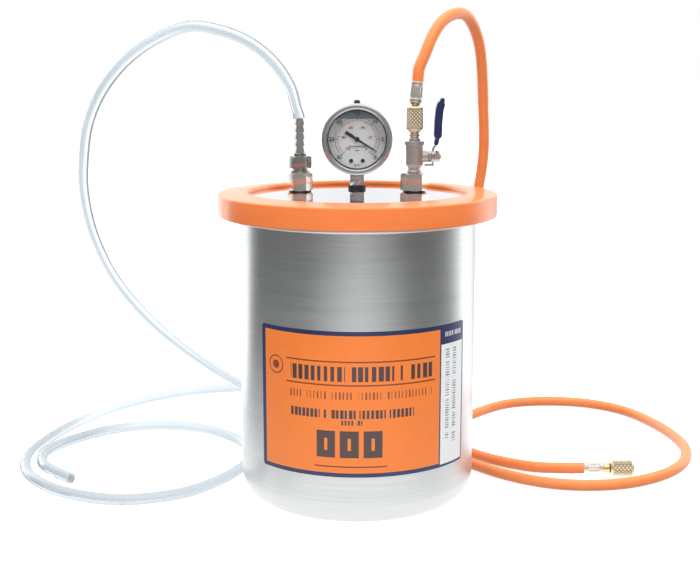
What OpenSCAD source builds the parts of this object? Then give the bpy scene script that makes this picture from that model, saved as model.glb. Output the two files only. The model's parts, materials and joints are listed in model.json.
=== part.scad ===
// Vacuum and resin pot: a spun steel pot, a loose lid in a rubber channel gasket, and three lid
// fittings: a hose barb with a clear tube, a liquid filled gauge, and a ball valve with a charging
// hose. Origin at the centre of the pot's bottom, +Z up, the gauge faces -Y. Millimetres.

/* [Pot] */
// Outside diameter of the pot
pot_d = 200; // [160:1:260]
// Height of the pot's rim
pot_h = 242; // [190:1:300]
// Thickness of the pot's wall
pot_wall = 1.2; // [0.8:0.1:3]
// Radius of the corner between the wall and the bottom
pot_corner = 22; // [8:1:30]
// Radius of the rolled bead at the rim
rim_bead = 1.8; // [1.3:0.1:3]
// Height of the label's lower edge
label_z = 44; // [32:1:60]
// Height of the label
label_h = 118; // [80:1:120]
// Angle that the label covers, in degrees
label_sweep = 109; // [60:1:160]
// Thickness of the label
label_t = 0.3; // [0.2:0.05:0.6]

/* [Lid and gasket] */
// How far the lid reaches past the pot's wall
lid_overhang = 12; // [8:0.5:20]
// Thickness of the lid plate
lid_t = 12.5; // [8:0.5:20]
// Thickness of the gasket under the lid
gasket_floor = 4; // [3:0.5:6]
// Thickness of the gasket outside the lid's edge
gasket_side = 5.5; // [3:0.5:8]
// Thickness of the gasket's lip on the lid
gasket_lip = 3.5; // [2.5:0.5:5]
// Width of the gasket's lip on the lid
lip_w = 20.5; // [12:0.5:24]
// Radius of the circle that the three ports stand on
port_ring = 57; // [48:1:62]

/* [Ports] */
// Diameter of the port threads
port_thread = 12.8; // [10.4:0.2:15.4]
// Diameter of the passage through the ports
port_bore = 7; // [4:0.5:8]
// Width across flats of the hose port's coupling
hose_coupling_af = 19; // [17:0.5:24]
// Width across flats of the valve port's coupling
valve_coupling_af = 21; // [19:0.5:26]
// Height of a coupling
coupling_h = 15; // [12:0.5:20]
// Thickness of the sealing washers
washer_t = 1; // [0.5:0.1:2]
// Height of the nuts under the lid
locknut_h = 5; // [4:0.5:8]

/* [Hose barb] */
// Width across flats of the barb's hexagon
barb_af = 17.5; // [15:0.5:20]
// Diameter over the barb's ribs
barb_d = 7.6; // [6:0.1:9]
// Length of the ribbed stem
barb_len = 30; // [20:1:36]
// Number of ribs on the stem
barb_ribs = 5; // [3:1:7]

/* [Gauge] */
// Diameter of the gauge's bezel
gauge_d = 63; // [54:1:74]
// Depth of the gauge's case
gauge_depth = 22; // [20:1:28]
// Height of the dial's centre above the lid
gauge_rise = 43.5; // [40:0.5:56]
// Width of the square socket
socket_w = 12.5; // [10:0.5:14]

/* [Valve] */
// Diameter of the valve's body
valve_d = 15.2; // [14:0.2:20]
// Diameter of the ball
ball_d = 10; // [8:0.2:12]
// Diameter of the valve's stem
stem_d = 4.4; // [3.6:0.1:5.2]
// Length of the lever above the stem
lever_len = 49; // [46:1:70]
// Thickness of the lever's plate
lever_t = 1.8; // [1.2:0.1:2.4]
// Width of the lever's plate
lever_w = 9; // [8:0.5:11]

/* [Charging hose] */
// Diameter of the flare thread
flare_d = 11; // [10.4:0.1:11.6]
// Diameter of the knurled nuts
nut_d = 15; // [14.6:0.1:15.2]
// Length of the knurled nuts
nut_len = 21; // [21:0.5:26]
// Diameter of the crimped ferrules
ferrule_d = 11.6; // [11:0.1:12.6]
// Length of the crimped ferrules
ferrule_len = 18; // [14:0.5:18]

/* [Clearances] */
// Gap between the gasket and the pot's rim
seat_gap = 0.05; // [0.02:0.01:0.2]
// Radial gap of screwed or pushed joints
thread_gap = 0.05; // [0.02:0.01:0.1]
// Radial gap of a turning shaft in its hole
run_gap = 0.05; // [0.02:0.01:0.1]
// Gap around moving parts that only pass by
free_gap = 0.4; // [0.3:0.05:0.8]

/* [Hidden] */
$fn = 96;
eps = 0.01;

// Pot and lid
pot_r = pot_d / 2;
lid_r = pot_r + lid_overhang;
lid_z0 = pot_h + seat_gap + gasket_floor;
lid_z = lid_z0 + lid_t;
gasket_r = lid_r + thread_gap + gasket_side;
lip_r = lid_r - lip_w;
gasket_round = 2.5;
label_turn = 4.5;

// Ports
thread_r = port_thread / 2;
bore_r = port_bore / 2;
hole_r = thread_r + 0.3;
hose_xy = port_ring * [cos(150), sin(150)];
gauge_xy = port_ring * [0, 1];
valve_xy = port_ring * [cos(30), sin(30)];
flange_r = thread_r + 3.2;
coupling_z = lid_z + washer_t;
coupling_top = coupling_z + coupling_h;
nipple_z = lid_z0 - washer_t - locknut_h - 1.5;
nipple_top = coupling_z + coupling_h / 2 - 1;
port_screw = coupling_h / 2 - 1;

// Hose barb
coupling_ring = 2;
barb_hex_z = coupling_top + coupling_ring + 2;
barb_hex_h = 10.5;
barb_collar = 2.2;
barb_base_z = barb_hex_z + barb_hex_h + barb_collar;

// Gauge, in its own frame: X right, Y up, Z towards the viewer
gauge_z = lid_z + gauge_rise;
bezel_r = gauge_d / 2;
case_r = bezel_r - 2.5;
case_wall = 1.4;
case_in = case_r - case_wall;
case_front = 8.8;
case_back = case_front - gauge_depth;
seal_t = 0.5;
glass_t = 2;
glass_r = case_r - 0.5;
bezel_front = case_front + seal_t + glass_t + 2.5;
sight_r = bezel_r - 5.4;
dial_z = 3;
dial_t = 0.6;
dial_r = case_in - 0.4;
socket_front = 2;
gauge_seal_t = 3;
arbor_r = 0.8;
pinion_teeth = 8;
sector_teeth = 48;
gear_m = 0.5;
gear_z = -3.6;
gear_t = 1.6;
gear_span = gear_m * (pinion_teeth + sector_teeth) / 2;
socket_top = min(8 - case_in, -gear_span - 4.6);
screw_xy = [5.1, socket_top + 0.8];
plate_t = 1;
plate_back = -6;
plate_front = 0.6;
bourdon_r = case_in - 5.6;
pointer_turn = -32;

// Valve
body_z = coupling_top + 7;
body_h = 17;
cap_z = body_z + body_h;
cap_h = 3.2;
body_r = valve_d / 2;
ball_r = ball_d / 2;
ball_z = body_z + body_h / 2 - 1.3;
ball_bore = 2.6;
chamber_r = ball_r + 0.6;
seat_h = 3;
stem_r = stem_d / 2;
boss_r = 4.8;
boss_x = body_r + 4.4;
gland_x = boss_x + 2.4;
lever_x = gland_x + free_gap;
lever_nut_x = lever_x + lever_t;
stem_end = lever_nut_x + 6.6;

// Charging hose fittings, in a frame along their own axis with the nut's mouth at zero
flare_r = flare_d / 2;
nut_r = nut_d / 2;
ferrule_r = ferrule_d / 2;
nut_z = cap_z + cap_h + 9;
nut_lid = 3;
nut_thread = 11;
chamber_w = 6.3;
head_z = -nut_lid - 3.6;
neck_gap = 1;
near_neck = 3;
far_neck = 6.5;
near_lean = 6;
far_y = 30;
far_z = nut_r + 0.1;
far_mouth = 250;

// Hoses
hose_r = 5;
hose_sides = 8;
rings_per_span = 2;
floor_z = hose_r + 0.2;
near_pivot = nut_z + nut_len;
near_out = near_neck + ferrule_len;
near_exit = [valve_xy[0] + near_out * sin(near_lean), valve_xy[1], near_pivot + near_out * cos(near_lean)];
far_exit = [far_mouth - nut_len - far_neck - ferrule_len, far_y, far_z];
barb_exit = [hose_xy[0], hose_xy[1], barb_base_z];

charging_route = [
    near_exit, near_exit + 11 * [sin(near_lean), 0, cos(near_lean)],
    [58, 31, 376], [64, 36, 390], [73, 45, 403], [86, 62, 410.5], [98, 80, 408.5], [108, 97, 394],
    [114, 109, 372], [118, 121, 330], [120, 129, 285], [115, 135, 245], [104, 141, 210], [91, 148, 175],
    [81, 156, 138], [71, 164, 98], [59, 173, 58], [39, 183, 25], [10, 191, 8], [-28, 192, 5.2],
    [-56, 180, 5.2],
    [-68, 152, 5.2], [-56, 124, 5.2], [-28, 112, 5.2], [6, 112, 5.2], [42, 106, 5.2], [76, 84, 5.2],
    [104, 51, 5.2], [133, 19, 5.2], [168, -3, 5.2], [206, -9, 5.2], [245, 0, 5.2], [282, 26, 5.2],
    [306, 62, 5.2], [316, 107, 5.2], [309, 164, 5.2], [288, 219, 5.2], [254, 251, 5.2], [210, 261, 5.2],
    [164, 250, 5.2], [122, 209, 5.2], [92, 162, 5.2], [91, 110, 5.2], [121, 67, 5.2], [158, 41, 5.5],
    [190, 31.5, 7], far_exit - [6, 0, 0], far_exit
];
clear_route = [
    barb_exit, barb_exit + [0, 0, 14], barb_exit + [-0.5, 0, 30],
    [-53, 29, 333], [-58, 33, 349], [-71, 41, 368], [-92, 52, 385], [-119, 64, 396], [-149, 76, 400],
    [-181, 87, 389], [-210, 99, 370], [-234, 110, 344], [-250, 120, 314], [-258, 130, 282],
    [-261, 138, 247], [-256, 150, 205], [-240, 164, 160], [-212, 180, 117], [-179, 195, 82],
    [-146, 211, 53], [-112, 226, 28], [-78, 238, 10], [-42, 243, 5.2], [-11, 255, 5.2], [2, 285, 5.2],
    [-11, 315, 5.2], [-42, 327, 5.2], [-92, 324, 5.2], [-150, 314, 5.2], [-206, 291, 5.2],
    [-255, 241, 5.2], [-288, 176, 5.2], [-306, 108, 5.2], [-307, 58, 5.2], [-290, 13, 5.2],
    [-252, -26, 5.2], [-200, -45, 5.2], [-152, -30, 5.2], [-122, 4, 5.2], [-103, 46, 5.2],
    [-100, 84, 5.2], [-116, 121, 5.2], [-146, 154, 5.2], [-192, 171, 5.2], [-240, 160, 5.2],
    [-276, 125, 5.2], [-294, 88, 5.2], [-290, 52, 5.2], [-271, 26, 5.2], [-254, 9, 5.2]
];

// Smooth curve through the points of a route, and a tube swept along it
function unit(v) = v / norm(v);
function flat_to(v, t) = unit(v - (v * t) * t);
function before(p, i) = i > 0 ? p[i - 1] : 2 * p[0] - p[1];
function after(p, i) = i < len(p) - 2 ? p[i + 2] : 2 * p[i + 1] - p[i];
function on_span(p, i, s) =
    let (a = before(p, i), b = p[i], c = p[i + 1], d = after(p, i),
         q = 0.5 * (2 * b + (c - a) * s + (2 * a - 5 * b + 4 * c - d) * pow(s, 2)
             + (3 * b - a - 3 * c + d) * pow(s, 3)))
    [q[0], q[1], max(q[2], floor_z)];
function centres(p) = concat(
    [for (i = [0 : len(p) - 2], k = [0 : rings_per_span - 1]) on_span(p, i, k / rings_per_span)],
    [p[len(p) - 1]]);
function headings(c, p) = let (n = len(c), m = len(p)) [for (i = [0 : n - 1])
    i == 0 ? unit(p[1] - p[0]) : i == n - 1 ? unit(p[m - 1] - p[m - 2]) : unit(c[i + 1] - c[i - 1])];
function sides(t) = let (n = len(t))
    [for (i = 0, u = flat_to([0, 1, 0], t[0]); i < n; u = flat_to(u, t[min(i + 1, n - 1)]), i = i + 1) u];
module hose(route) {
    c = centres(route);
    t = headings(c, route);
    u = sides(t);
    n = len(c);
    m = hose_sides;
    points = [for (i = [0 : n - 1], k = [0 : m - 1])
        let (a = 360 * (k + 0.5) / m)
        c[i] + hose_r * (cos(a) * u[i] + sin(a) * cross(t[i], u[i]))];
    walls = [for (i = [0 : n - 2], k = [0 : m - 1])
        let (j = (k + 1) % m)
        [i * m + k, (i + 1) * m + k, (i + 1) * m + j, i * m + j]];
    caps = [[for (k = [0 : m - 1]) k], [for (k = [m - 1 : -1 : 0]) (n - 1) * m + k]];
    polyhedron(points = points, faces = concat(walls, caps), convexity = 10);
}

// Shapes that several parts share
module ring(z, h, outer, inner) {
    translate([0, 0, z]) difference() {
        cylinder(r = outer, h = h);
        translate([0, 0, -1]) cylinder(r = inner, h = h + 2);
    }
}
module hexagon(z, h, af, inner = 0) {
    corner_r = af / 2 / cos(30);
    bevel = corner_r - af / 2;
    translate([0, 0, z]) difference() {
        intersection() {
            cylinder(r = corner_r, h = h, $fn = 6);
            rotate_extrude() polygon([[0, 0], [af / 2, 0], [corner_r, bevel / 2],
                [corner_r, h - bevel / 2], [af / 2, h], [0, h]]);
        }
        if (inner > 0) translate([0, 0, -1]) cylinder(r = inner, h = h + 2);
    }
}
module at_port(xy) {
    translate([xy[0], xy[1], 0]) children();
}
module port_nipple() {
    ring(nipple_z, nipple_top - nipple_z, thread_r, bore_r);
}
module port_seal() {
    ring(lid_z, washer_t, flange_r, thread_r + thread_gap);
}
module port_washer() {
    ring(lid_z0 - washer_t, washer_t, flange_r + 1, thread_r + thread_gap);
}
module port_locknut() {
    hexagon(lid_z0 - washer_t - locknut_h, locknut_h, valve_coupling_af - 2, thread_r + thread_gap);
}

// Pot
module pot_solid(r, z, corner) {
    rotate_extrude() {
        translate([0, z]) square([r - corner, corner + 1]);
        translate([0, z + corner]) square([r, pot_h - z - corner]);
        translate([r - corner, z + corner]) circle(corner);
    }
}
module pot_shell() {
    color([0.72, 0.72, 0.73]) {
        difference() {
            union() {
                pot_solid(pot_r, 0, pot_corner);
                rotate_extrude() translate([pot_r - pot_wall + rim_bead, pot_h - rim_bead]) circle(rim_bead);
            }
            translate([0, 0, pot_h - 2 * rim_bead - 1]) cylinder(r = pot_r - pot_wall, h = 3 * rim_bead + 2);
            pot_solid(pot_r - pot_wall, pot_wall, pot_corner - pot_wall);
        }
    }
}
module pot_label() {
    color([0.95, 0.5, 0.2]) rotate([0, 0, -90 + label_turn - label_sweep / 2])
        rotate_extrude(angle = label_sweep) translate([pot_r, label_z]) square([label_t, label_h]);
}

// Lid
module lid_plate() {
    edge = 1;
    color([0.85, 0.85, 0.86]) difference() {
        rotate_extrude() polygon([[0, lid_z0], [lid_r - edge, lid_z0], [lid_r, lid_z0 + edge],
            [lid_r, lid_z - edge], [lid_r - edge, lid_z], [0, lid_z]]);
        for (xy = [hose_xy, gauge_xy, valve_xy])
            at_port(xy) translate([0, 0, lid_z0 - 1]) cylinder(r = hole_r, h = lid_t + 2);
    }
}
module lid_gasket() {
    z = pot_h + seat_gap;
    shoulder = lid_z + gasket_lip - 1.5;
    color([1, 0.43, 0.2]) rotate_extrude() difference() {
        polygon([
            [lip_r, z], [gasket_r - gasket_round, z], [gasket_r, z + gasket_round],
            [gasket_r, shoulder - gasket_round], [gasket_r - gasket_round, shoulder],
            [lip_r + 4, lid_z + gasket_lip], [lip_r + 1.5, lid_z + gasket_lip - 0.4],
            [lip_r, lid_z + gasket_lip - 2]
        ]);
        translate([0, lid_z0]) square([lid_r + thread_gap, lid_t]);
    }
}

// Hose port
module hose_port_nipple() {
    color([0.75, 0.74, 0.72]) at_port(hose_xy) port_nipple();
}
module hose_port_seal() {
    color([0.3, 0.3, 0.3]) at_port(hose_xy) port_seal();
}
module hose_port_washer() {
    color([0.3, 0.3, 0.3]) at_port(hose_xy) port_washer();
}
module hose_port_locknut() {
    color([0.75, 0.74, 0.72]) at_port(hose_xy) port_locknut();
}
module hose_port_coupling() {
    color([0.72, 0.7, 0.66]) at_port(hose_xy) {
        hexagon(coupling_z, coupling_h, hose_coupling_af, thread_r + thread_gap);
        ring(coupling_top, coupling_ring, hose_coupling_af / 2 - 0.9, thread_r + thread_gap);
    }
}
module hose_barb() {
    rib = barb_len / barb_ribs;
    root_r = barb_d / 2 - 0.9;
    color([0.7, 0.69, 0.67]) at_port(hose_xy) difference() {
        union() {
            translate([0, 0, coupling_top - port_screw + 1])
                cylinder(r = thread_r, h = barb_hex_z - coupling_top + port_screw - 1);
            hexagon(barb_hex_z, barb_hex_h, barb_af);
            translate([0, 0, barb_base_z - barb_collar - eps]) cylinder(r = barb_d / 2 + 1.8, h = barb_collar + eps);
            translate([0, 0, barb_base_z - eps]) cylinder(r = root_r, h = barb_len + eps);
            for (i = [0 : barb_ribs - 1])
                translate([0, 0, barb_base_z + i * rib + 0.5])
                    cylinder(r1 = barb_d / 2, r2 = root_r - 0.1, h = rib - 0.6);
        }
        translate([0, 0, coupling_z]) cylinder(r = barb_d / 2 - 1.6, h = 90);
    }
}

// Gauge
module at_gauge() {
    translate([gauge_xy[0], gauge_xy[1], gauge_z]) rotate([90, 0, 0]) children();
}
module gauge_port_seal() {
    color([0.15, 0.15, 0.15]) at_port(gauge_xy) ring(lid_z, gauge_seal_t, thread_r + 1.4, thread_r + thread_gap);
}
module gauge_port_washer() {
    color([0.3, 0.3, 0.3]) at_port(gauge_xy) port_washer();
}
module gauge_port_locknut() {
    color([0.75, 0.74, 0.72]) at_port(gauge_xy) port_locknut();
}
module gauge_socket() {
    block_z = lid_z + gauge_seal_t;
    neck_z = gauge_z - bezel_r - free_gap;
    color([0.72, 0.66, 0.5]) difference() {
        union() {
            at_port(gauge_xy) {
                translate([0, 0, nipple_z]) cylinder(r = thread_r, h = block_z - nipple_z + eps);
                translate([-socket_w / 2, -socket_w / 2, block_z]) cube([socket_w, socket_w, neck_z - block_z]);
                translate([-socket_w / 2, -socket_front, neck_z - eps])
                    cube([socket_w, socket_w / 2 + socket_front, gauge_z + socket_top - neck_z + eps]);
            }
            at_gauge() for (side = [-1, 1])
                translate([side * screw_xy[0], screw_xy[1], 0]) cylinder(r = 1.5, h = dial_z);
        }
        at_port(gauge_xy) translate([0, 0, nipple_z - 1])
            cylinder(r = 2, h = gauge_z + socket_top - nipple_z - 2);
        at_gauge() for (side = [-1, 1])
            translate([side * screw_xy[0], screw_xy[1], 0]) cylinder(r = 0.8 + thread_gap, h = dial_z + 1);
    }
}
module gauge_case() {
    color([0.8, 0.8, 0.8]) at_gauge() difference() {
        translate([0, 0, case_back]) cylinder(r = case_r, h = gauge_depth);
        translate([0, 0, case_back + case_wall]) cylinder(r = case_in, h = gauge_depth);
        translate([-socket_w / 2 - thread_gap, -case_r - 1, -socket_w / 2 - thread_gap])
            cube([socket_w + 2 * thread_gap, case_r / 2, socket_w / 2 + socket_front + 2 * thread_gap]);
        rotate([-90, 0, 0]) cylinder(r = 2.5 + thread_gap, h = case_r + 1);
    }
}
module gauge_bezel() {
    seat = case_front + seal_t + glass_t;
    color([0.85, 0.85, 0.86]) at_gauge() rotate_extrude() polygon([
        [case_r + thread_gap, case_front - 5], [bezel_r - 0.8, case_front - 5], [bezel_r, case_front - 4.2],
        [bezel_r, bezel_front - 2.2], [bezel_r - 1.8, bezel_front], [sight_r + 1.6, bezel_front],
        [sight_r, bezel_front - 1.4], [sight_r, seat], [case_r + thread_gap, seat]
    ]);
}
module gauge_window() {
    color([0.85, 0.92, 0.95, 0.35]) at_gauge() translate([0, 0, case_front + seal_t])
        cylinder(r = glass_r, h = glass_t);
}
module gauge_window_seal() {
    color([0.15, 0.15, 0.15]) at_gauge() ring(case_front, seal_t, glass_r, case_in);
}
module gauge_dial() {
    color([0.94, 0.96, 0.97]) at_gauge() difference() {
        translate([0, 0, dial_z]) cylinder(r = dial_r, h = dial_t);
        translate([0, 0, dial_z - 1]) cylinder(r = arbor_r + free_gap, h = dial_t + 2);
        for (side = [-1, 1])
            translate([side * screw_xy[0], screw_xy[1], dial_z - 1]) cylinder(r = 0.8 + thread_gap, h = dial_t + 2);
    }
    color([0.1, 0.1, 0.1]) at_gauge() rotate([0, 0, -49]) translate([15, 0, dial_z + dial_t - eps])
        cylinder(r = 0.5, h = 2.6, $fn = 24);
}
module dial_screws() {
    color([0.2, 0.2, 0.2]) at_gauge() for (side = [-1, 1])
        translate([side * screw_xy[0], screw_xy[1], 0]) difference() {
            union() {
                translate([0, 0, 0.5]) cylinder(r = 0.8, h = dial_z + dial_t);
                translate([0, 0, dial_z + dial_t]) cylinder(r = 1.7, h = 1);
            }
            translate([-2, -0.25, dial_z + dial_t + 0.5]) cube([4, 0.5, 1]);
        }
}
module movement_frame() {
    plate_w = 6.6;
    top_y = 7;
    pillar_r = 1.1;
    foot_y = socket_top;
    color([0.8, 0.68, 0.35]) at_gauge() difference() {
        union() {
            for (z = [plate_back, plate_front])
                translate([-plate_w / 2, foot_y, z]) cube([plate_w, top_y - foot_y, plate_t]);
            for (side = [-1, 1])
                translate([side * (plate_w / 2 - pillar_r), top_y - pillar_r - 0.1, plate_back + plate_t - eps])
                    cylinder(r = pillar_r, h = plate_front - plate_back - plate_t + 2 * eps, $fn = 24);
            translate([-plate_w / 2, foot_y, plate_back]) cube([plate_w, 1.4, plate_front - plate_back + plate_t]);
        }
        translate([0, 0, plate_back - 1]) cylinder(r = arbor_r + run_gap, h = 12);
        translate([0, -gear_span, plate_back - 1]) cylinder(r = arbor_r + run_gap, h = 12);
    }
}
module bourdon_tube() {
    tube_r = 1.8;
    tip_r = tube_r + 0.5;
    z = case_back + case_wall + 0.2 + tip_r;
    first = -74;
    root = bourdon_r * [cos(first), sin(first)];
    color([0.75, 0.6, 0.3]) at_gauge() {
        translate([0, 0, z]) rotate([0, 0, first]) rotate_extrude(angle = 270)
            translate([bourdon_r, 0]) circle(tube_r);
        translate([root[0] - 3.5, socket_top - 3, z - 1.1])
            cube([4.2, root[1] + 5 - socket_top, 1.1 - socket_w / 2 - z]);
        rotate([0, 0, first + 270]) translate([bourdon_r, 0, z]) rotate([90, 0, 0])
            cylinder(r = tip_r, h = 3, center = true);
    }
}
module gauge_fill_plug() {
    color([0.12, 0.12, 0.13]) at_gauge() rotate([-90, 0, 0]) {
        translate([0, 0, case_in - 1]) cylinder(r = 2.5, h = case_r - case_in + 1.6);
        translate([0, 0, case_r + 0.5]) cylinder(r1 = 3.4, r2 = 2.2, h = 4.6);
    }
}
module gear_2d(teeth, count, first) {
    r = gear_m * teeth / 2;
    step = 360 / teeth;
    root_a = 0.24 * step;
    tip_a = 0.1 * step;
    circle(r = r - 0.62, $fn = 64);
    for (i = [0 : count - 1]) rotate(first + i * step) polygon([
        for (p = [[r - 0.7, -root_a], [r + 0.42, -tip_a], [r + 0.42, tip_a], [r - 0.7, root_a]])
            p[0] * [cos(p[1]), sin(p[1])]
    ]);
}
module gauge_pinion() {
    color([0.8, 0.68, 0.35]) at_gauge() {
        translate([0, 0, plate_back - 0.5]) cylinder(r = arbor_r, h = 12.6);
        translate([0, 0, gear_z]) linear_extrude(gear_t) gear_2d(pinion_teeth, pinion_teeth, -90);
    }
}
module gauge_sector() {
    step = 360 / sector_teeth;
    r = gear_m * sector_teeth / 2;
    reach = 8;
    color([0.8, 0.68, 0.35]) at_gauge() translate([0, -gear_span, 0]) {
        translate([0, 0, plate_back - 0.5]) cylinder(r = arbor_r, h = plate_front - plate_back + 2);
        translate([0, 0, gear_z]) linear_extrude(gear_t) intersection() {
            gear_2d(sector_teeth, reach, 90 - 0.5 * step);
            polygon([[-1.6, -1.6], [1.6, -1.6], 20 * [cos(90 - step), sin(90 - step)],
                20 * [cos(90 + reach * step - step / 2), sin(90 + reach * step - step / 2)]]);
        }
        translate([0, 0, gear_z]) cylinder(r = 2.2, h = gear_t);
    }
}
module gauge_pointer() {
    z = dial_z + dial_t + 1.2;
    color([0.08, 0.08, 0.08]) at_gauge() difference() {
        union() {
            translate([0, 0, z]) linear_extrude(0.6) rotate(pointer_turn) polygon([
                [-12, -1.5], [-6, -1.5], [-2, -0.9], [16, -0.55], [21, -0.12],
                [21, 0.12], [16, 0.55], [-2, 0.9], [-6, 1.5], [-12, 1.5]
            ]);
            translate([0, 0, z - 0.3]) cylinder(r = 2.2, h = 1.8);
        }
        translate([0, 0, z - 1]) cylinder(r = arbor_r + thread_gap, h = 2.4);
    }
}

// Valve port
module valve_port_nipple() {
    color([0.75, 0.74, 0.72]) at_port(valve_xy) port_nipple();
}
module valve_port_seal() {
    color([0.3, 0.3, 0.3]) at_port(valve_xy) port_seal();
}
module valve_port_washer() {
    color([0.3, 0.3, 0.3]) at_port(valve_xy) port_washer();
}
module valve_port_locknut() {
    color([0.75, 0.74, 0.72]) at_port(valve_xy) port_locknut();
}
module valve_port_coupling() {
    color([0.72, 0.7, 0.66]) at_port(valve_xy)
        hexagon(coupling_z, coupling_h, valve_coupling_af, thread_r + thread_gap);
}

// Ball valve, in a frame with its flow axis at x = y = 0
module along_stem(x) {
    translate([x, 0, ball_z]) rotate([0, 90, 0]) children();
}
module valve_body() {
    color([0.62, 0.58, 0.52]) at_port(valve_xy) difference() {
        union() {
            translate([0, 0, coupling_top - port_screw + 1]) cylinder(r = thread_r, h = port_screw - 1 + 2);
            translate([0, 0, coupling_top + 2 - eps]) cylinder(r = thread_r - 0.8, h = body_z - coupling_top - 2 + eps);
            translate([0, 0, body_z - 2.4]) cylinder(r1 = thread_r - 0.8, r2 = body_r, h = 2.4 + eps);
            translate([0, 0, body_z]) cylinder(r = body_r, h = body_h);
            along_stem(0) cylinder(r = boss_r, h = boss_x);
        }
        translate([0, 0, coupling_z]) cylinder(r = bore_r - 0.9, h = body_z - coupling_z + 4);
        translate([0, 0, ball_z - ball_r - seat_h / 2]) cylinder(r = chamber_r, h = cap_z - ball_z + ball_r + 9);
        along_stem(0) cylinder(r = stem_r + run_gap, h = boss_x + 1);
        along_stem(boss_x - 2.4) cylinder(r = stem_r + 1.1, h = 3);
    }
}
module valve_end_cap() {
    seat_z = ball_z + ball_r + seat_h / 2;
    color([0.62, 0.58, 0.52]) at_port(valve_xy) {
        ring(cap_z, cap_h, body_r + 1, flare_r - 1.5 + thread_gap);
        ring(seat_z, cap_z - seat_z + eps, chamber_r - thread_gap, flare_r - 1.5 + thread_gap);
    }
}
module valve_seats() {
    color([0.95, 0.95, 0.92]) at_port(valve_xy) difference() {
        for (side = [-1, 1]) ring(ball_z + side * ball_r - seat_h / 2, seat_h, chamber_r - thread_gap, ball_bore);
        translate([0, 0, ball_z]) sphere(r = ball_r + run_gap);
    }
}
module valve_packing() {
    color([0.95, 0.95, 0.92]) at_port(valve_xy) along_stem(boss_x - 2.4) difference() {
        cylinder(r = stem_r + 1.1 - thread_gap, h = 2.4);
        translate([0, 0, -1]) cylinder(r = stem_r + run_gap, h = 5);
    }
}
module valve_gland() {
    color([0.66, 0.62, 0.56]) at_port(valve_xy) along_stem(0)
        hexagon(boss_x, gland_x - boss_x, 9, stem_r + run_gap);
}
module valve_stem() {
    color([0.7, 0.69, 0.67]) at_port(valve_xy) along_stem(ball_r - 0.9) cylinder(r = stem_r, h = stem_end - ball_r + 0.9);
}
module valve_ball() {
    color([0.82, 0.82, 0.83]) at_port(valve_xy) translate([0, 0, ball_z]) difference() {
        sphere(r = ball_r);
        cylinder(r = ball_bore, h = 3 * ball_r, center = true);
        translate([ball_r - 0.9, -ball_r, -ball_r]) cube([2, 2 * ball_r, 2 * ball_r]);
    }
}

// Lever: a bent plate, dipped in vinyl above the bend; x and z are its mid line, from the stem
lever_tip = [7.6, lever_len - 1];
lever_bend = [[0, 6.5], [2.3, 10], [3.9, 17], [4.3, 30], [5.2, lever_len - 9], lever_tip];
foot_drop = 8;
foot_len = 6.2;
module lever_strip(points, thick, wide) {
    for (i = [0 : len(points) - 2]) hull() for (p = [points[i], points[i + 1]])
        translate([p[0], 0, p[1]]) rotate([90, 0, 0]) cylinder(r = thick / 2, h = wide, center = true, $fn = 16);
}
module lever_plate() {
    mid = lever_x + lever_t / 2;
    color([0.75, 0.75, 0.76]) at_port(valve_xy) difference() {
        union() {
            along_stem(lever_x) cylinder(r = 6.4, h = lever_t);
            translate([lever_x, -lever_w / 2, ball_z - foot_drop])
                cube([lever_t, lever_w, lever_bend[0][1] + foot_drop]);
            translate([mid, 0, ball_z]) lever_strip(lever_bend, lever_t, lever_w);
            translate([lever_x - foot_len, -lever_w / 2, ball_z - foot_drop])
                cube([foot_len + eps, lever_w, lever_t]);
        }
        along_stem(lever_x - 1) cylinder(r = stem_r + thread_gap, h = lever_t + 2);
    }
}
module lever_sleeve() {
    mid = lever_x + lever_t / 2;
    skin = 1.1;
    grip_skin = 2.6;
    grip_end = [6.3, lever_len - 5.2];
    neck = [[2.7, 11.6], [3.9, 17]];
    grip = [[4, 18.5], [4.3, 30], [5.2, lever_len - 9], grip_end];
    color([0.12, 0.15, 0.35]) at_port(valve_xy) difference() {
        translate([mid, 0, ball_z]) {
            lever_strip(neck, lever_t + 2 * skin, lever_w + 2 * skin);
            lever_strip(grip, lever_t + 2 * grip_skin, lever_w + 2 * skin + 1.6);
            lever_strip([grip_end, lever_tip], lever_t + 2 * skin, lever_w + 2 * skin + 1);
        }
        translate([mid, 0, ball_z]) lever_strip(lever_bend, lever_t + 2 * thread_gap, lever_w + 2 * thread_gap);
    }
}
module lever_nut() {
    color([0.6, 0.57, 0.52]) at_port(valve_xy) along_stem(0) {
        hexagon(lever_nut_x, 5.2, 8.6, stem_r + thread_gap);
    }
}

// Charging hose fittings
module flare_adapter() {
    color([0.6, 0.57, 0.52]) at_port(valve_xy) difference() {
        union() {
            translate([0, 0, ball_z + ball_r + seat_h / 2]) cylinder(r = flare_r - 1.5, h = nut_z - ball_z - ball_r);
            ring(cap_z + cap_h, 2.4, flare_r - 0.4, 2);
            ring(cap_z + cap_h + 4.2, 1.6, flare_r - 0.8, 2);
            translate([0, 0, nut_z - 1]) cylinder(r = flare_r, h = nut_thread);
            translate([0, 0, nut_z - 1 + nut_thread - eps]) cylinder(r1 = flare_r - 1, r2 = 3, h = 3);
        }
        translate([0, 0, body_z]) cylinder(r = 2, h = 60);
    }
}
module fitting_nut() {
    difference() {
        rotate_extrude() polygon([[0, 0], [nut_r - 1.4, 0], [nut_r, 1.6], [nut_r, nut_len - 1.6],
            [nut_r - 1.4, nut_len], [0, nut_len]]);
        translate([0, 0, -1]) cylinder(r = flare_r + run_gap, h = nut_thread + 1);
        translate([0, 0, nut_thread - 1]) cylinder(r = chamber_w, h = nut_len - nut_lid - nut_thread + 1);
        cylinder(r = 4.4, h = nut_len + 1);
    }
}
module fitting_seal() {
    ring(head_z - 1, 1, 4.4, 2.2);
}
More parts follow.
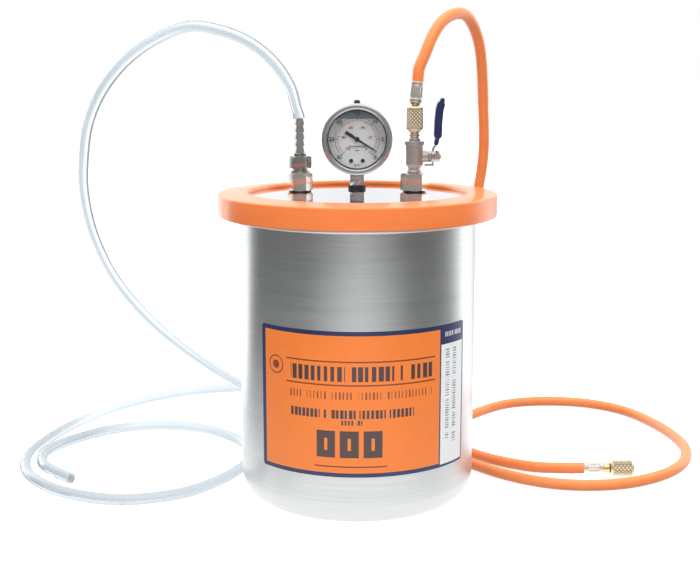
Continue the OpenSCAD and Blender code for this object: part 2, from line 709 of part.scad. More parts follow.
module fitting_insert(neck) {
    difference() {
        union() {
            translate([0, 0, head_z]) cylinder(r = 4.9, h = 3);
            translate([0, 0, -nut_lid - 1]) cylinder(r = 3.2, h = nut_lid + 1 + neck);
            translate([0, 0, neck_gap]) cylinder(r = 4.6, h = neck - neck_gap);
            translate([0, 0, neck - eps]) cylinder(r = 3.8, h = ferrule_len - 1.5);
        }
        translate([0, 0, -nut_lid - 5]) cylinder(r = 1.8, h = 60);
    }
}
module fitting_ferrule(neck) {
    rotate_extrude() translate([0, neck]) difference() {
        polygon([[0, 0], [ferrule_r - 0.6, 0], [ferrule_r, 0.8], [ferrule_r, 3], [ferrule_r - 0.5, 4],
            [ferrule_r - 0.5, ferrule_len - 4], [ferrule_r, ferrule_len - 3], [ferrule_r, ferrule_len - 0.8],
            [ferrule_r - 0.5, ferrule_len], [0, ferrule_len]]);
        translate([-1, -1]) square([3.8 + thread_gap + 1, ferrule_len + 2]);
    }
}
module at_near() {
    at_port(valve_xy) translate([0, 0, nut_z]) children();
}
module at_near_insert() {
    at_port(valve_xy) translate([0, 0, near_pivot]) rotate([0, near_lean, 0]) children();
}
module at_far(x) {
    translate([x, far_y, far_z]) rotate([0, -90, 0]) children();
}
module near_nut() {
    color([0.85, 0.72, 0.42]) at_near() fitting_nut();
}
module near_seal() {
    color([0.15, 0.15, 0.15]) at_near_insert() fitting_seal();
}
module near_insert() {
    color([0.85, 0.72, 0.42]) at_near_insert() fitting_insert(near_neck);
}
module near_ferrule() {
    color([0.8, 0.74, 0.6]) at_near_insert() fitting_ferrule(near_neck);
}
module far_nut() {
    color([0.85, 0.72, 0.42]) at_far(far_mouth) fitting_nut();
}
module far_seal() {
    color([0.15, 0.15, 0.15]) at_far(far_mouth - nut_len) fitting_seal();
}
module far_insert() {
    color([0.85, 0.72, 0.42]) at_far(far_mouth - nut_len) fitting_insert(far_neck);
}
module far_ferrule() {
    color([0.8, 0.74, 0.6]) at_far(far_mouth - nut_len) fitting_ferrule(far_neck);
}
module charging_hose() {
    color([1, 0.5, 0.25]) hose(charging_route);
}
module clear_hose() {
    color([0.85, 0.9, 0.95, 0.5]) hose(clear_route);
}

pot_shell();
pot_label();
lid_plate();
lid_gasket();
hose_port_nipple();
hose_port_seal();
hose_port_washer();
hose_port_locknut();
hose_port_coupling();
hose_barb();
gauge_port_seal();
gauge_port_washer();
gauge_port_locknut();
gauge_socket();
gauge_case();
gauge_bezel();
gauge_window();
gauge_window_seal();
gauge_dial();
dial_screws();
movement_frame();
bourdon_tube();
gauge_fill_plug();
gauge_pointer();
gauge_pinion();
gauge_sector();
valve_port_nipple();
valve_port_seal();
valve_port_washer();
valve_port_locknut();
valve_port_coupling();
valve_body();
valve_end_cap();
valve_seats();
valve_packing();
valve_gland();
valve_stem();
valve_ball();
lever_plate();
lever_sleeve();
lever_nut();
flare_adapter();
near_nut();
near_seal();
near_insert();
near_ferrule();
far_nut();
far_seal();
far_insert();
far_ferrule();
charging_hose();
clear_hose();
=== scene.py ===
import json
import math

import bmesh
import bpy
from mathutils import Matrix, Vector

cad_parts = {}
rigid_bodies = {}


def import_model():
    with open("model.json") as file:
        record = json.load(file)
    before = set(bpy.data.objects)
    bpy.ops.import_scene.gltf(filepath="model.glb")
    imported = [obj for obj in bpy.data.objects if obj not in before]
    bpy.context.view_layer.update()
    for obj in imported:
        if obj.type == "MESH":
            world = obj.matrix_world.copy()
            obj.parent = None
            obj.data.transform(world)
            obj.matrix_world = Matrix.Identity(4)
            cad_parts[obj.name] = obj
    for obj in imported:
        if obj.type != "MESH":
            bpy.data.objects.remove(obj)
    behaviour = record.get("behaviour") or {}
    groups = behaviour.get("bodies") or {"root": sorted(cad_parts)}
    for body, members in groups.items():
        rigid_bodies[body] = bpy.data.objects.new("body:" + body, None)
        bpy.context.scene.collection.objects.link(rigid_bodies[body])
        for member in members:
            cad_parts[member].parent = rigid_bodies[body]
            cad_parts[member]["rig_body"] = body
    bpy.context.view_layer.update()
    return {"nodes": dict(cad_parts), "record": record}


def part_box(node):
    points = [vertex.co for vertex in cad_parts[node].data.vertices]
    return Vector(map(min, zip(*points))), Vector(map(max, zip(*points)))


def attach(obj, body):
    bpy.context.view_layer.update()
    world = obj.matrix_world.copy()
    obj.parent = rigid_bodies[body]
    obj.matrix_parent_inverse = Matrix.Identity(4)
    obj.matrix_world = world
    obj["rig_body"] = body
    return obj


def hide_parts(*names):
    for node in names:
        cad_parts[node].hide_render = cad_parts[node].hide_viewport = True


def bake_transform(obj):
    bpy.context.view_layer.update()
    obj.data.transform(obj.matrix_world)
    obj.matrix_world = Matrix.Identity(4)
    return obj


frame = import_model()

MM = 0.001
scene = bpy.context.scene
scene.view_settings.view_transform = "Standard"


def centre_of(node):
    """The middle of a CAD node's box."""
    low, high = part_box(node)
    return (low + high) / 2


def add(name, data):
    """A new object in the scene."""
    made = bpy.data.objects.new(name, data)
    scene.collection.objects.link(made)
    return made


# ---------------------------------------------------------------- camera
CAMERA_X = -6.2 * MM
CAMERA_BACK = 1007 * MM
CAMERA_HEIGHT = 361.9 * MM
CAMERA_PITCH = math.radians(10.15)
LENS = 61.56


def camera():
    data = bpy.data.cameras.new("camera")
    data.lens = LENS
    data.sensor_width = 36
    data.clip_start = 0.05
    data.clip_end = 60
    made = add("camera", data)
    made.location = (CAMERA_X, -CAMERA_BACK, CAMERA_HEIGHT)
    made.rotation_euler = (math.pi / 2 - CAMERA_PITCH, 0, 0)
    scene.camera = made


camera()


# ---------------------------------------------------------------- shader maths
def operator(operation, swapped=False):
    """What one of Python's operators does to a Field: it adds a Math node."""

    def act(self, other):
        return self.math(operation, *((other, self) if swapped else (self, other)))

    return act


class Field:
    """A number, colour or vector that varies over a surface. Arithmetic on it adds Math nodes."""

    def __init__(self, tree, link=None):
        self.tree = tree
        self.link = link

    def node(self, kind, settings=None, inputs=None, output=0):
        """Any node: its settings are set first, then its sockets get values or links."""
        made = self.tree.nodes.new(kind)
        for key, value in (settings or {}).items():
            if key == "stops":
                ramp = made.color_ramp.elements
                while len(ramp) < len(value):
                    ramp.new(1)
                for stop, (place, colour) in zip(ramp, value):
                    stop.position = place
                    stop.color = colour
            else:
                setattr(made, key, value)
        for key, value in (inputs or {}).items():
            if isinstance(value, Field):
                self.tree.links.new(value.link, made.inputs[key])
            else:
                made.inputs[key].default_value = value
        return Field(self.tree, made.outputs[output])

    def math(self, operation, *values):
        return self.node("ShaderNodeMath", {"operation": operation}, dict(enumerate(values)))

    def vector(self, operation, *values):
        return self.node("ShaderNodeVectorMath", {"operation": operation}, dict(enumerate(values)))

    def between(self, low, high):
        """The colour between two others, at this share."""
        return self.node("ShaderNodeMix", {"data_type": "RGBA"}, {0: self, 6: low, 7: high}, 2)

    __add__ = operator("ADD")
    __radd__ = operator("ADD", swapped=True)
    __sub__ = operator("SUBTRACT")
    __rsub__ = operator("SUBTRACT", swapped=True)
    __mul__ = operator("MULTIPLY")
    __rmul__ = operator("MULTIPLY", swapped=True)
    __truediv__ = operator("DIVIDE")
    __gt__ = operator("GREATER_THAN")
    __lt__ = operator("LESS_THAN")

    def clamped(self):
        return self.math("MAXIMUM", self.math("MINIMUM", self, 1), 0)


def parts_of(vector):
    """X, Y and Z of a vector field."""
    split = vector.node("ShaderNodeSeparateXYZ", inputs={0: vector})
    outputs = split.link.node.outputs
    return tuple(Field(vector.tree, outputs[i]) for i in range(3))


def heading(x, y):
    """Degrees round the pot from the front."""
    return x.math("ARCTAN2", x, 0 - y) * math.degrees(1)


def noise(at, scale, stretch=(1, 1, 1), detail=2.0, rough=0.5):
    """Cloudy noise from 0 to 1, drawn out along the axes where stretch is small."""
    place = at.vector("MULTIPLY", at, stretch)
    return at.node("ShaderNodeTexNoise", {"normalize": True},
                   {"Vector": place, "Scale": scale, "Detail": detail, "Roughness": rough})


def bump(height, distance):
    """A normal that follows a height field, whose full range is this distance."""
    return height.node("ShaderNodeBump", inputs={"Strength": 1.0, "Distance": distance, "Height": height})


def speck(at, scale, size):
    """1 on scattered small spots."""
    return at.node("ShaderNodeTexVoronoi", inputs={"Vector": at, "Scale": scale}) < size


def finish(name, paint, **constants):
    """A Principled material. Constants go on the shader's own sockets; paint(at) gives what varies."""
    made = bpy.data.materials.new(name)
    made.use_nodes = True
    tree = made.node_tree
    shader = tree.nodes["Principled BSDF"]
    for key, value in constants.items():
        shader.inputs[key.replace("_", " ")].default_value = value
    at = Field(tree).node("ShaderNodeTexCoord", output=3)
    for key, value in paint(at).items():
        tree.links.new(value.link, shader.inputs[key])
    return made


def shade(colour, factor):
    """A colour made darker or lighter, no channel past 1."""
    return (*(min(1.0, c * factor) for c in colour[:3]), 1)


def metal(name, colour, rough, grain, grain_scale, depth):
    """Machined or polished metal: fine tool marks along the grain, cloudy handling marks and rare pits.
    depth is the height of the tool marks in millimetres."""

    def paint(at):
        marks = noise(at, grain_scale, grain, 3)
        haze = noise(at, 60, detail=4)
        pits = speck(at, 700, 0.09)
        tone = (haze * 0.7 + marks * 0.3).between(shade(colour, 0.84), shade(colour, 1.1))
        return {
            "Base Color": (pits * 0.5).between(tone, shade(colour, 0.45)),
            "Roughness": (haze * 0.14 + marks * 0.1 + pits * 0.2 + (rough - 0.1)).clamped(),
            "Normal": bump(marks - pits * 0.5, depth * MM),
        }

    return finish(name, paint, Metallic=1.0)


def knurled_brass(name, colour, grain):
    """Bright brass with painted shade along the valleys of its knurl, where it is also rougher."""

    def paint(at):
        valley = at.node("ShaderNodeAttribute", {"attribute_name": "valley"}, output=2)
        marks = noise(at, 150, grain, 3)
        haze = noise(at, 90, detail=4)
        # painted shade: the knurl's valleys are darkened, and made rougher too
        valley_shade = ((valley - 0.6) * 3.2).clamped() * (haze * 0.4 + 0.6)
        tone = (haze * 0.6 + marks * 0.4).between(shade(colour, 0.92), shade(colour, 1.02))
        return {
            "Base Color": valley_shade.between(tone, shade(colour, 0.42)),
            "Roughness": (haze * 0.12 + marks * 0.08 + valley_shade * 0.3 + 0.26).clamped(),
            "Normal": bump(marks, 0.02 * MM),
        }

    return finish(name, paint, Metallic=1.0)


def rubbery(name, colour, rough, depth, dust=0.25, **constants):
    """Rubber or moulded plastic: a fine pebbled skin, cloudy tone and pale dust in its pores."""

    def paint(at):
        pebble = noise(at, 1500, detail=2)
        haze = noise(at, 35, detail=4)
        dusty = ((noise(at, 260, detail=3) - 0.58) * 5).clamped() * dust
        tone = haze.between(shade(colour, 0.86), shade(colour, 1.1))
        return {
            "Base Color": dusty.between(tone, (*(c * 0.7 + 0.22 for c in colour[:3]), 1)),
            "Roughness": (haze * 0.16 + dusty * 0.3 + (rough - 0.08)).clamped(),
            "Normal": bump(pebble, depth * MM),
        }

    return finish(name, paint, **constants)


def let_light_through(made):
    """Lamps shine through a clear material, so that it throws no dark shadow."""
    tree = made.node_tree
    shader = Field(tree, tree.nodes["Principled BSDF"].outputs[0])
    shadow_ray = shader.node("ShaderNodeLightPath", output=1)
    open_air = shader.node("ShaderNodeBsdfTransparent")
    mixed = shader.node("ShaderNodeMixShader", inputs={0: shadow_ray, 1: shader, 2: open_air})
    tree.links.new(mixed.link, tree.nodes["Material Output"].inputs[0])
    return made


# ---------------------------------------------------------------- materials
def brushed_pot():
    """Stainless steel brushed round the pot: long fine lines, brighter and darker bands, a few scratches."""
    steel = (0.62, 0.63, 0.625)

    def paint(at):
        fine = noise(at, 15, (1, 1, 130), 3, 0.6)
        coarse = noise(at, 9, (1, 1, 34), 2)
        band = noise(at, 3, (0.4, 0.4, 6), 2)
        scratch = ((noise(at, 6, (1, 1, 260), 1) - 0.68) * 9).clamped()
        smudge = noise(at, 22, detail=4)
        tone = (fine * 0.55 + coarse * 0.3 + band * 0.15).between(shade(steel, 0.72), shade(steel, 1.28))
        return {
            "Base Color": (scratch * 0.5).between(tone, (0.86, 0.87, 0.88, 1)),
            "Roughness": (0.2 + fine * 0.16 + smudge * 0.08).clamped(),
            "Normal": bump(fine * 0.7 + coarse * 0.3 + scratch * 0.3, 0.05 * MM),
        }

    return finish("brushed_pot_steel", paint, Metallic=1.0, Anisotropic=0.5, Anisotropic_Rotation=0.25)


def polished_lid():
    """Mirror polished plate with faint swirls, wiping marks and hairline scratches."""
    colour = (0.86, 0.875, 0.9)

    def paint(at):
        swirl = noise(at, 14, detail=5)
        wipe = noise(at, 40, (1, 0.12, 1), 3)
        scratch = ((noise(at, 60, (0.1, 3, 1), 1) - 0.7) * 8).clamped()
        return {
            "Base Color": (scratch * 0.4 + swirl * 0.3).between(shade(colour, 1.0), shade(colour, 0.9)),
            "Roughness": (0.015 + swirl * 0.04 + wipe * 0.03 + scratch * 0.1).clamped(),
            "Normal": bump(swirl * 0.5 + scratch * 0.2, 0.004 * MM),
        }

    return finish("polished_lid", paint, Metallic=1.0)


def orange_silicone():
    """Moulded silicone rubber: even orange, faint mould flow round the ring, tiny specks of dust."""
    colour = (0.95, 0.215, 0.045)

    def paint(at):
        flow = noise(at, 10, (1, 1, 9), 3)
        skin = noise(at, 900, detail=2)
        dust = speck(at, 420, 0.07)
        edge = noise(at, 55, detail=4)
        tone = (flow * 0.6 + edge * 0.4).between(shade(colour, 0.88), (1, 0.27, 0.075, 1))
        return {
            "Base Color": (dust * 0.35).between(tone, (1, 0.62, 0.45, 1)),
            "Roughness": (0.24 + edge * 0.14 + dust * 0.3).clamped(),
            "Normal": bump(skin * 0.3 + flow, 0.03 * MM),
        }

    return finish("orange_silicone", paint, Coat_Weight=0.5, Coat_Roughness=0.1, Specular_IOR_Level=0.4,
                  Subsurface_Weight=0.12, Subsurface_Radius=(0.004, 0.0015, 0.0006), Subsurface_Scale=1.0)


def cast_nickel():
    """Nickel plate over a sand casting: grainy, warm grey, with painted shade that darkens the hollows and
    painted light on the raised grains.
    """
    colour = (0.98, 0.88, 0.79)

    def paint(at):
        sand = noise(at, 1100, detail=3, rough=0.65)
        cloud = noise(at, 130, detail=4)
        pits = speck(at, 900, 0.16)
        # painted light and shade: the sand grain that makes the relief also lightens the raised grains and
        # darkens the hollows; the cloud part is random tone
        tone = (cloud * 0.5 + sand * 0.5).between(shade(colour, 0.5), shade(colour, 1.35))
        return {
            "Base Color": (pits * 0.6).between(tone, shade(colour, 0.3)),
            "Roughness": (0.3 + sand * 0.22 + pits * 0.2).clamped(),
            "Normal": bump(sand - pits * 0.5, 0.3 * MM),
        }

    return finish("cast_nickel", paint, Metallic=1.0)


def hose_skin():
    """Extruded orange hose: die lines along it, slight ovals of tone, scuffs that catch dust."""
    colour = (0.95, 0.225, 0.05)

    def paint(at):
        lie = at.node("ShaderNodeAttribute", {"attribute_name": "straight"}, output=1)
        die = noise(lie, 1200, (1, 1, 0.02), 2)
        tone = noise(lie, 60, (0.4, 0.4, 1), 3)
        weave = noise(lie, 420, (1, 1, 0.5), 2)
        scuff = ((noise(lie, 170, (1, 1, 0.25), 3) - 0.66) * 6).clamped()
        base = (tone * 0.7 + die * 0.3).between(shade(colour, 0.84), (1, 0.29, 0.085, 1))
        return {
            "Base Color": (scuff * 0.3).between(base, (1, 0.5, 0.3, 1)),
            "Roughness": (0.3 + tone * 0.12 + scuff * 0.2).clamped(),
            "Normal": bump(die * 0.6 + weave * 0.4, 0.05 * MM),
        }

    return finish("orange_hose", paint, Coat_Weight=0.25, Coat_Roughness=0.2)


def clear_vinyl(name, pale, deep, bend):
    """Clear vinyl tube: cool tint, die lines along it, faint haze in patches.
    bend is its index of refraction."""

    def paint(at):
        lie = at.node("ShaderNodeAttribute", {"attribute_name": "straight"}, output=1)
        die = noise(lie, 1100, (1, 1, 0.015), 2)
        haze = noise(lie, 50, (1, 1, 0.3), 3)
        return {
            "Base Color": haze.between((*deep, 1), (*pale, 1)),
            "Roughness": (0.01 + haze * 0.07).clamped(),
            "Normal": bump(die, 0.02 * MM),
        }

    return let_light_through(finish(name, paint, Transmission_Weight=0.96, IOR=bend))


def window_glass(name, tint, rough=0.0, bend=1.46):
    """Clear glass or filling, with faint wiping marks. bend is its index of refraction."""

    def paint(at):
        wipe = noise(at, 90, (1, 1, 0.3), 3)
        return {
            "Base Color": wipe.between(shade(tint, 0.985), shade(tint, 1.0)),
            "Roughness": (wipe * 0.02 + rough).clamped(),
        }

    return let_light_through(finish(name, paint, Transmission_Weight=1.0, IOR=bend))


FILL_LINE = 17.2 * MM


def enamel_dial():
    """White enamel, faintly blue through the filling, with painted shade that darkens it above the fill
    line, where the air space is.
    """
    dial = centre_of("gauge_dial")

    def paint(at):
        x, y, z = parts_of(at)
        # painted shade: the dial's colour turns grey-blue above the fill line, where the air space is
        air = ((z - (dial.z + FILL_LINE)) * 900).clamped()
        grain = noise(at, 800, detail=2)
        tone = noise(at, 60, detail=3).between((0.97, 0.985, 0.99, 1), (0.99, 0.995, 1.0, 1))
        return {
            "Base Color": air.between(tone, (0.26, 0.32, 0.38, 1)),
            "Roughness": (0.35 + grain * 0.15).clamped(),
            "Normal": bump(grain, 0.01 * MM),
        }

    return finish("dial_enamel", paint)


def dipped_vinyl():
    """Dipped navy vinyl: glossy, with soft drips and a few scuffs."""
    colour = (0.01, 0.016, 0.075)

    def paint(at):
        drip = noise(at, 130, (1, 1, 0.35), 3)
        scuff = ((noise(at, 500, (1, 1, 0.4), 2) - 0.68) * 6).clamped()
        tone = drip.between(shade(colour, 0.7), shade(colour, 1.5))
        return {
            "Base Color": (scuff * 0.3).between(tone, (0.1, 0.13, 0.28, 1)),
            "Roughness": (0.14 + drip * 0.12 + scuff * 0.25).clamped(),
            "Normal": bump(drip, 0.35 * MM),
        }

    return finish("dipped_navy_vinyl", paint, Coat_Weight=0.5, Coat_Roughness=0.08)


# The label, in degrees round the pot from the front and in metres up it
LABEL_ORANGE = (0.93, 0.225, 0.035, 1)
LABEL_NAVY = (0.012, 0.022, 0.085, 1)
LABEL_INK = (0.03, 0.028, 0.035, 1)
LABEL_RED_INK = (0.16, 0.03, 0.012, 1)
LABEL_WHITE = (0.85, 0.87, 0.88, 1)
LABEL_BORDER = 3.4 * MM
LABEL_SIDE_PANEL = 18
INK_NAVY = (0.06, 0.07, 0.13, 1)


def printed_label():
    """Printed vinyl: navy border, orange panel with rows of plain bars, and a white side panel."""
    low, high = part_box("pot_label")
    left = math.degrees(math.asin(low.x / -low.y))
    right = math.degrees(math.asin(high.x / -low.y))
    panel_right = right - LABEL_SIDE_PANEL
    side_left, side_right = panel_right + 0.8, right - 0.9

    def paint(at):
        x, y, z = parts_of(at)
        phi = heading(x, y)

        def inside(v, start, end):
            return (v > start) * (v < end)

        def chance(along, seed):
            """A number from 0 to 1 for each whole step."""
            step = at.math("FLOOR", along) + seed
            return at.node("ShaderNodeTexWhiteNoise", {"noise_dimensions": "1D"}, {"W": step})

        def bars(along, start, end, pitch, share, seed):
            """A row of short bars of uneven widths, with gaps between groups of them."""
            letter, word = chance(along / pitch, seed), chance(along / (pitch * 7), seed)
            bar = at.math("FRACT", along / pitch) < letter * 0.3 + share
            gap = at.math("FRACT", along / (pitch * 7) + word * 0.3) > 0.14
            return inside(along, start, end) * bar * gap

        def row(middle, tall, start, end, pitch, share, seed):
            within = inside(z, middle - tall / 2, middle + tall / 2)
            return bars(phi, start, end, pitch, share, seed) * within

        def column(low_end, edge, seed):
            """A line of fine print that runs up the side panel."""
            across = inside(phi, side_left + edge, side_left + edge + 2.5)
            return bars(z, low_end, 142 * MM, 2.1 * MM, 0.2, seed) * across

        orange = inside(phi, left + 2.4, panel_right)
        orange = orange * inside(z, low.z + LABEL_BORDER, high.z - LABEL_BORDER)
        white = inside(phi, side_left, side_right)
        white = white * inside(z, low.z + LABEL_BORDER * 0.6, high.z - 16 * MM)
        long_rules = inside(z, 137.2 * MM, 138.4 * MM) + inside(z, 118.4 * MM, 119.6 * MM)
        rules = inside(phi, -34.5, 38) * long_rules
        rules = rules + inside(phi, -20, 13.5) * inside(z, 52 * MM, 53.2 * MM)
        name_row = row(128 * MM, 12 * MM, -32, 37, 3.1, 0.5, 3)
        small_row = row(110.6 * MM, 6 * MM, -33, 36, 1.7, 0.18, 11)
        bold_row = row(95.5 * MM, 7 * MM, -32, 28, 2.0, 0.52, 21)
        short_row = row(88.8 * MM, 4 * MM, -7.5, 2, 1.5, 0.5, 31)
        block = at.math("FRACT", (phi + 19) / 10.8)
        blocks = inside(phi, -19, 13.4) * inside(z, 60 * MM, 82 * MM) * (block < 0.8)
        slot = inside(at.math("ABSOLUTE", block - 0.4), 0, 0.07) * inside(z, 66 * MM, 76 * MM)
        badge_x = (phi - (left + 9.4)) * (math.radians(1) * 100 * MM)
        badge = at.math("SQRT", badge_x * badge_x + (z - 131 * MM) * (z - 131 * MM))
        badge_ring = inside(badge, 6.6 * MM, 7.6 * MM) + (badge < 3.4 * MM)
        ink = (name_row + bold_row + short_row + blocks * (1 - slot)).clamped()
        red_ink = (rules + small_row + badge_ring).clamped()
        side_rows = column(62 * MM, 8.4, 41) + column(66 * MM, 3.2, 51)
        head_row = row(154 * MM, 4 * MM, side_left + 2, side_right - 1.5, 1.2, 0.4, 61)

        wear = noise(at, 70, detail=4)
        print_dots = noise(at, 1600, detail=1)
        panel = (wear * 0.6 + print_dots * 0.4).between(shade(LABEL_ORANGE, 0.9), shade(LABEL_ORANGE, 1.1))
        panel = (red_ink * 0.92).between(panel, LABEL_RED_INK)
        panel = (ink * 0.96).between(panel, LABEL_INK)
        side = side_rows.between(LABEL_WHITE, INK_NAVY)
        navy = wear.between(shade(LABEL_NAVY, 0.8), shade(LABEL_NAVY, 1.25))
        border = (head_row * 0.9).between(navy, LABEL_WHITE)
        colour = orange.between(white.between(border, side), panel)
        return {
            "Base Color": colour,
            "Roughness": (0.3 + wear * 0.14).clamped(),
            "Normal": bump(noise(at, 300, detail=2), 0.015 * MM),
        }

    return finish("printed_label", paint, Coat_Weight=0.35, Coat_Roughness=0.22)


# Colours of metals, and grains that run round a part which was turned about one axis
NICKEL = (0.84, 0.78, 0.71)
BRASS = (0.98, 0.8, 0.46)
PALE_BRASS = (1.0, 0.9, 0.66)
WASHED_BRASS = (1.0, 0.95, 0.82)
ROUND_Z = (1, 1, 12)
ROUND_X = (12, 1, 1)
ROUND_Y = (1, 12, 1)

FINISHES = {
    "pot_steel": brushed_pot(),
    "label_vinyl": printed_label(),
    "lid_aluminium": polished_lid(),
    "gasket_rubber": orange_silicone(),
    "nickel": metal("turned_nickel", NICKEL, 0.2, ROUND_Z, 160, 0.02),
    "black_rubber": rubbery("black_rubber", (0.018, 0.018, 0.02), 0.5, 0.04),
    "gauge_steel": metal("polished_steel", (0.74, 0.745, 0.75), 0.1, ROUND_Y, 120, 0.006),
    "gauge_brass": metal("machined_brass", (0.78, 0.6, 0.3), 0.25, ROUND_Y, 200, 0.02),
    "glass": window_glass("window_glass", (0.99, 1.0, 1.0)),
    "dial_face": enamel_dial(),
    "black_paint": rubbery("black_paint", (0.012, 0.012, 0.013), 0.38, 0.012, 0.1),
    "ptfe": rubbery("white_ptfe", (0.82, 0.82, 0.79), 0.42, 0.01, 0.1, Subsurface_Weight=0.1),
    "lever_steel": metal("pressed_steel", (0.72, 0.725, 0.735), 0.2, (1, 0.1, 1), 500, 0.015),
    "navy_vinyl": dipped_vinyl(),
    "hose_brass": metal("bright_brass", BRASS, 0.2, ROUND_Z, 150, 0.02),
    "ferrule_brass": metal("washed_brass", WASHED_BRASS, 0.44, (1, 1, 0.2), 260, 0.01),
    "orange_hose": hose_skin(),
    "clear_tube": clear_vinyl("clear_vinyl", (0.84, 0.87, 0.89), (0.76, 0.805, 0.835), 1.4),
}
CUT_VINYL = rubbery("cut_vinyl", (0.72, 0.76, 0.79), 0.5, 0.02, 0.1, Subsurface_Weight=0.2)
STRETCHED_VINYL = clear_vinyl("stretched_vinyl", (0.98, 0.985, 0.99), (0.95, 0.96, 0.97), 1.06)
# a darker copy of the turned nickel, used on the barb
DARKER_NICKEL = metal("darker_nickel", (0.5, 0.475, 0.44), 0.16, ROUND_Z, 160, 0.03)
CAST_NICKEL = cast_nickel()
NICKEL_X = metal("turned_nickel_stem", NICKEL, 0.18, ROUND_X, 160, 0.02)
BRASS_X = metal("bright_brass_far", BRASS, 0.2, ROUND_X, 150, 0.02)
KNURLED = knurled_brass("knurled_brass", PALE_BRASS, ROUND_Z)
KNURLED_X = knurled_brass("knurled_brass_far", PALE_BRASS, ROUND_X)
FERRULE_X = metal("washed_brass_far", WASHED_BRASS, 0.44, (0.2, 1, 1), 260, 0.01)
RED_PRINT = rubbery("red_print", (0.5, 0.02, 0.02), 0.45, 0.004, 0.1)
LIQUID = window_glass("gauge_filling", (0.985, 0.995, 1.0), 0.01, 1.12)


# ---------------------------------------------------------------- modelling
def mesh_of(bm, name):
    """The mesh of a finished bmesh."""
    mesh = bpy.data.meshes.new(name)
    bm.to_mesh(mesh)
    bm.free()
    return mesh


def pour(mesh, bm):
    """Adds a mesh that is needed no more to a bmesh."""
    bm.from_mesh(mesh)
    bpy.data.meshes.remove(mesh)


def settled(made):
    """The mesh that a text or a modified object comes to. The object itself goes."""
    bpy.context.view_layer.update()
    mesh = bpy.data.meshes.new_from_object(made.evaluated_get(bpy.context.evaluated_depsgraph_get()))
    bpy.data.objects.remove(made)
    return mesh


def roll_over(bm, edges, width, segments):
    """Rounds a bmesh's edges off by a width in millimetres."""
    bmesh.ops.bevel(bm, geom=edges, offset=width * MM, offset_type="OFFSET", segments=segments,
                    profile=0.5, affect="EDGES", clamp_overlap=True, material=-1)


def piece(name, bm, body, slot, replaces=(), place=None, look=None, smooth=35):
    """Makes a finished piece of a bmesh, with its place in its mesh, puts it in the scene on its body and
    hides the CAD nodes it replaces.
    """
    if place is not None:
        bm.transform(place)
    mesh = mesh_of(bm, name)
    mesh.materials.append(look or FINISHES[slot])
    mesh.shade_smooth()
    mesh.set_sharp_from_angle(angle=math.radians(smooth))
    made = add(name, mesh)
    if body:
        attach(made, body)
    if replaces:
        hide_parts(*replaces)
    return made


def rounded(outline, steps=4):
    """An outline whose corners given as (r, z, reach) are rounded off by that reach."""
    corners = [Vector(point[:2]) for point in outline]
    result = []
    for i, point in enumerate(outline):
        corner = corners[i]
        if len(point) < 3:
            result.append(corner)
            continue
        start = corner + (corners[i - 1] - corner).normalized() * point[2]
        end = corner + (corners[(i + 1) % len(corners)] - corner).normalized() * point[2]
        for k in range(steps + 1):
            share = k / steps
            result.append(start.lerp(corner, share).lerp(corner.lerp(end, share), share))
    return result


def lathe(outline, steps, angle=math.tau):
    """A closed outline of (radius, height) points, in metres, turned about Z."""
    bm = bmesh.new()
    points = [bm.verts.new((r, 0, z)) for r, z in outline]
    edges = [bm.edges.new((points[i - 1], points[i])) for i in range(len(points))]
    full = abs(angle - math.tau) < 1e-6
    if not full:
        bm.faces.new(points)
    geom = points + edges + list(bm.faces)
    bmesh.ops.spin(bm, geom=geom, axis=(0, 0, 1), cent=(0, 0, 0), steps=steps, angle=angle, use_merge=full)
    bmesh.ops.remove_doubles(bm, verts=bm.verts, dist=1e-6)
    flat = [face for face in bm.faces if face.calc_area() < 1e-14]
    bmesh.ops.delete(bm, geom=flat, context="FACES")
    bmesh.ops.recalc_face_normals(bm, faces=bm.faces)
    return bm


def flat_ring(inner, outer, low, thick):
    """The outline of a flat ring."""
    return [(inner, low), (outer, low), (outer, low + thick), (inner, low + thick)]


def in_mm(points):
    """Points given in millimetres, in metres."""
    return [tuple(value * MM for value in point) for point in points]


def copy_of(node):
    """A merged copy of a CAD node's mesh, with its flat faces joined."""
    bm = bmesh.new()
    bm.from_mesh(frame["nodes"][node].data)
    bmesh.ops.remove_doubles(bm, verts=bm.verts, dist=2e-6)
    bmesh.ops.dissolve_limit(bm, angle_limit=math.radians(0.4), verts=bm.verts, edges=bm.edges)
    return bm


def body_of(node):
    """The body that a CAD node rides on."""
    return frame["nodes"][node]["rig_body"]


def slot_of(node):
    """A CAD node's material slot in the record."""
    return next(part["material_slot"] for part in frame["record"]["subparts"] if part["node"] == node)


def eased(node, name, width=0.25, look=None, segments=2):
    """A CAD node with its sharp edges rolled over, as tumbling or handling leaves them."""
    bm = copy_of(node)
    sharp = [e for e in bm.edges if e.is_manifold and e.calc_face_angle(0) > math.radians(28)]
    roll_over(bm, sharp, width, segments)
    piece(name, bm, body_of(node), slot_of(node), [node], look=look)


# ---------------------------------------------------------------- hoses
HOSE_R = 5 * MM
FLOOR_GAP = 5.2 * MM
CHARGING_BORE = 2.6 * MM
CLEAR_BORE = 3.25 * MM
SWELL_OUTSIDE = 0.06
SWELL_INSIDE = 0.2
RIBS_END = 36 * MM
EASING = 6 * MM
valve = centre_of("valve_port_coupling")
barb_port = centre_of("hose_port_coupling")
LEAN = math.radians(6)
NEAR_OUT = 21 * MM
FAR_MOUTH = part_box("far_nut")[1].x
NUT_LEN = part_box("near_nut")[1].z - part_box("near_nut")[0].z
NUT_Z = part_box("near_nut")[0].z
# the clear tube starts on the collar above the barb's hexagon
COLLAR_TOP = 291.25 * MM
near_heading = Vector((math.sin(LEAN), 0, math.cos(LEAN)))
near_exit = Vector((valve.x, valve.y, NUT_Z + NUT_LEN)) + NEAR_OUT * near_heading
far_exit = Vector((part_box("far_ferrule")[0].x, centre_of("far_nut").y, centre_of("far_nut").z))
barb_exit = Vector((barb_port.x, barb_port.y, COLLAR_TOP))

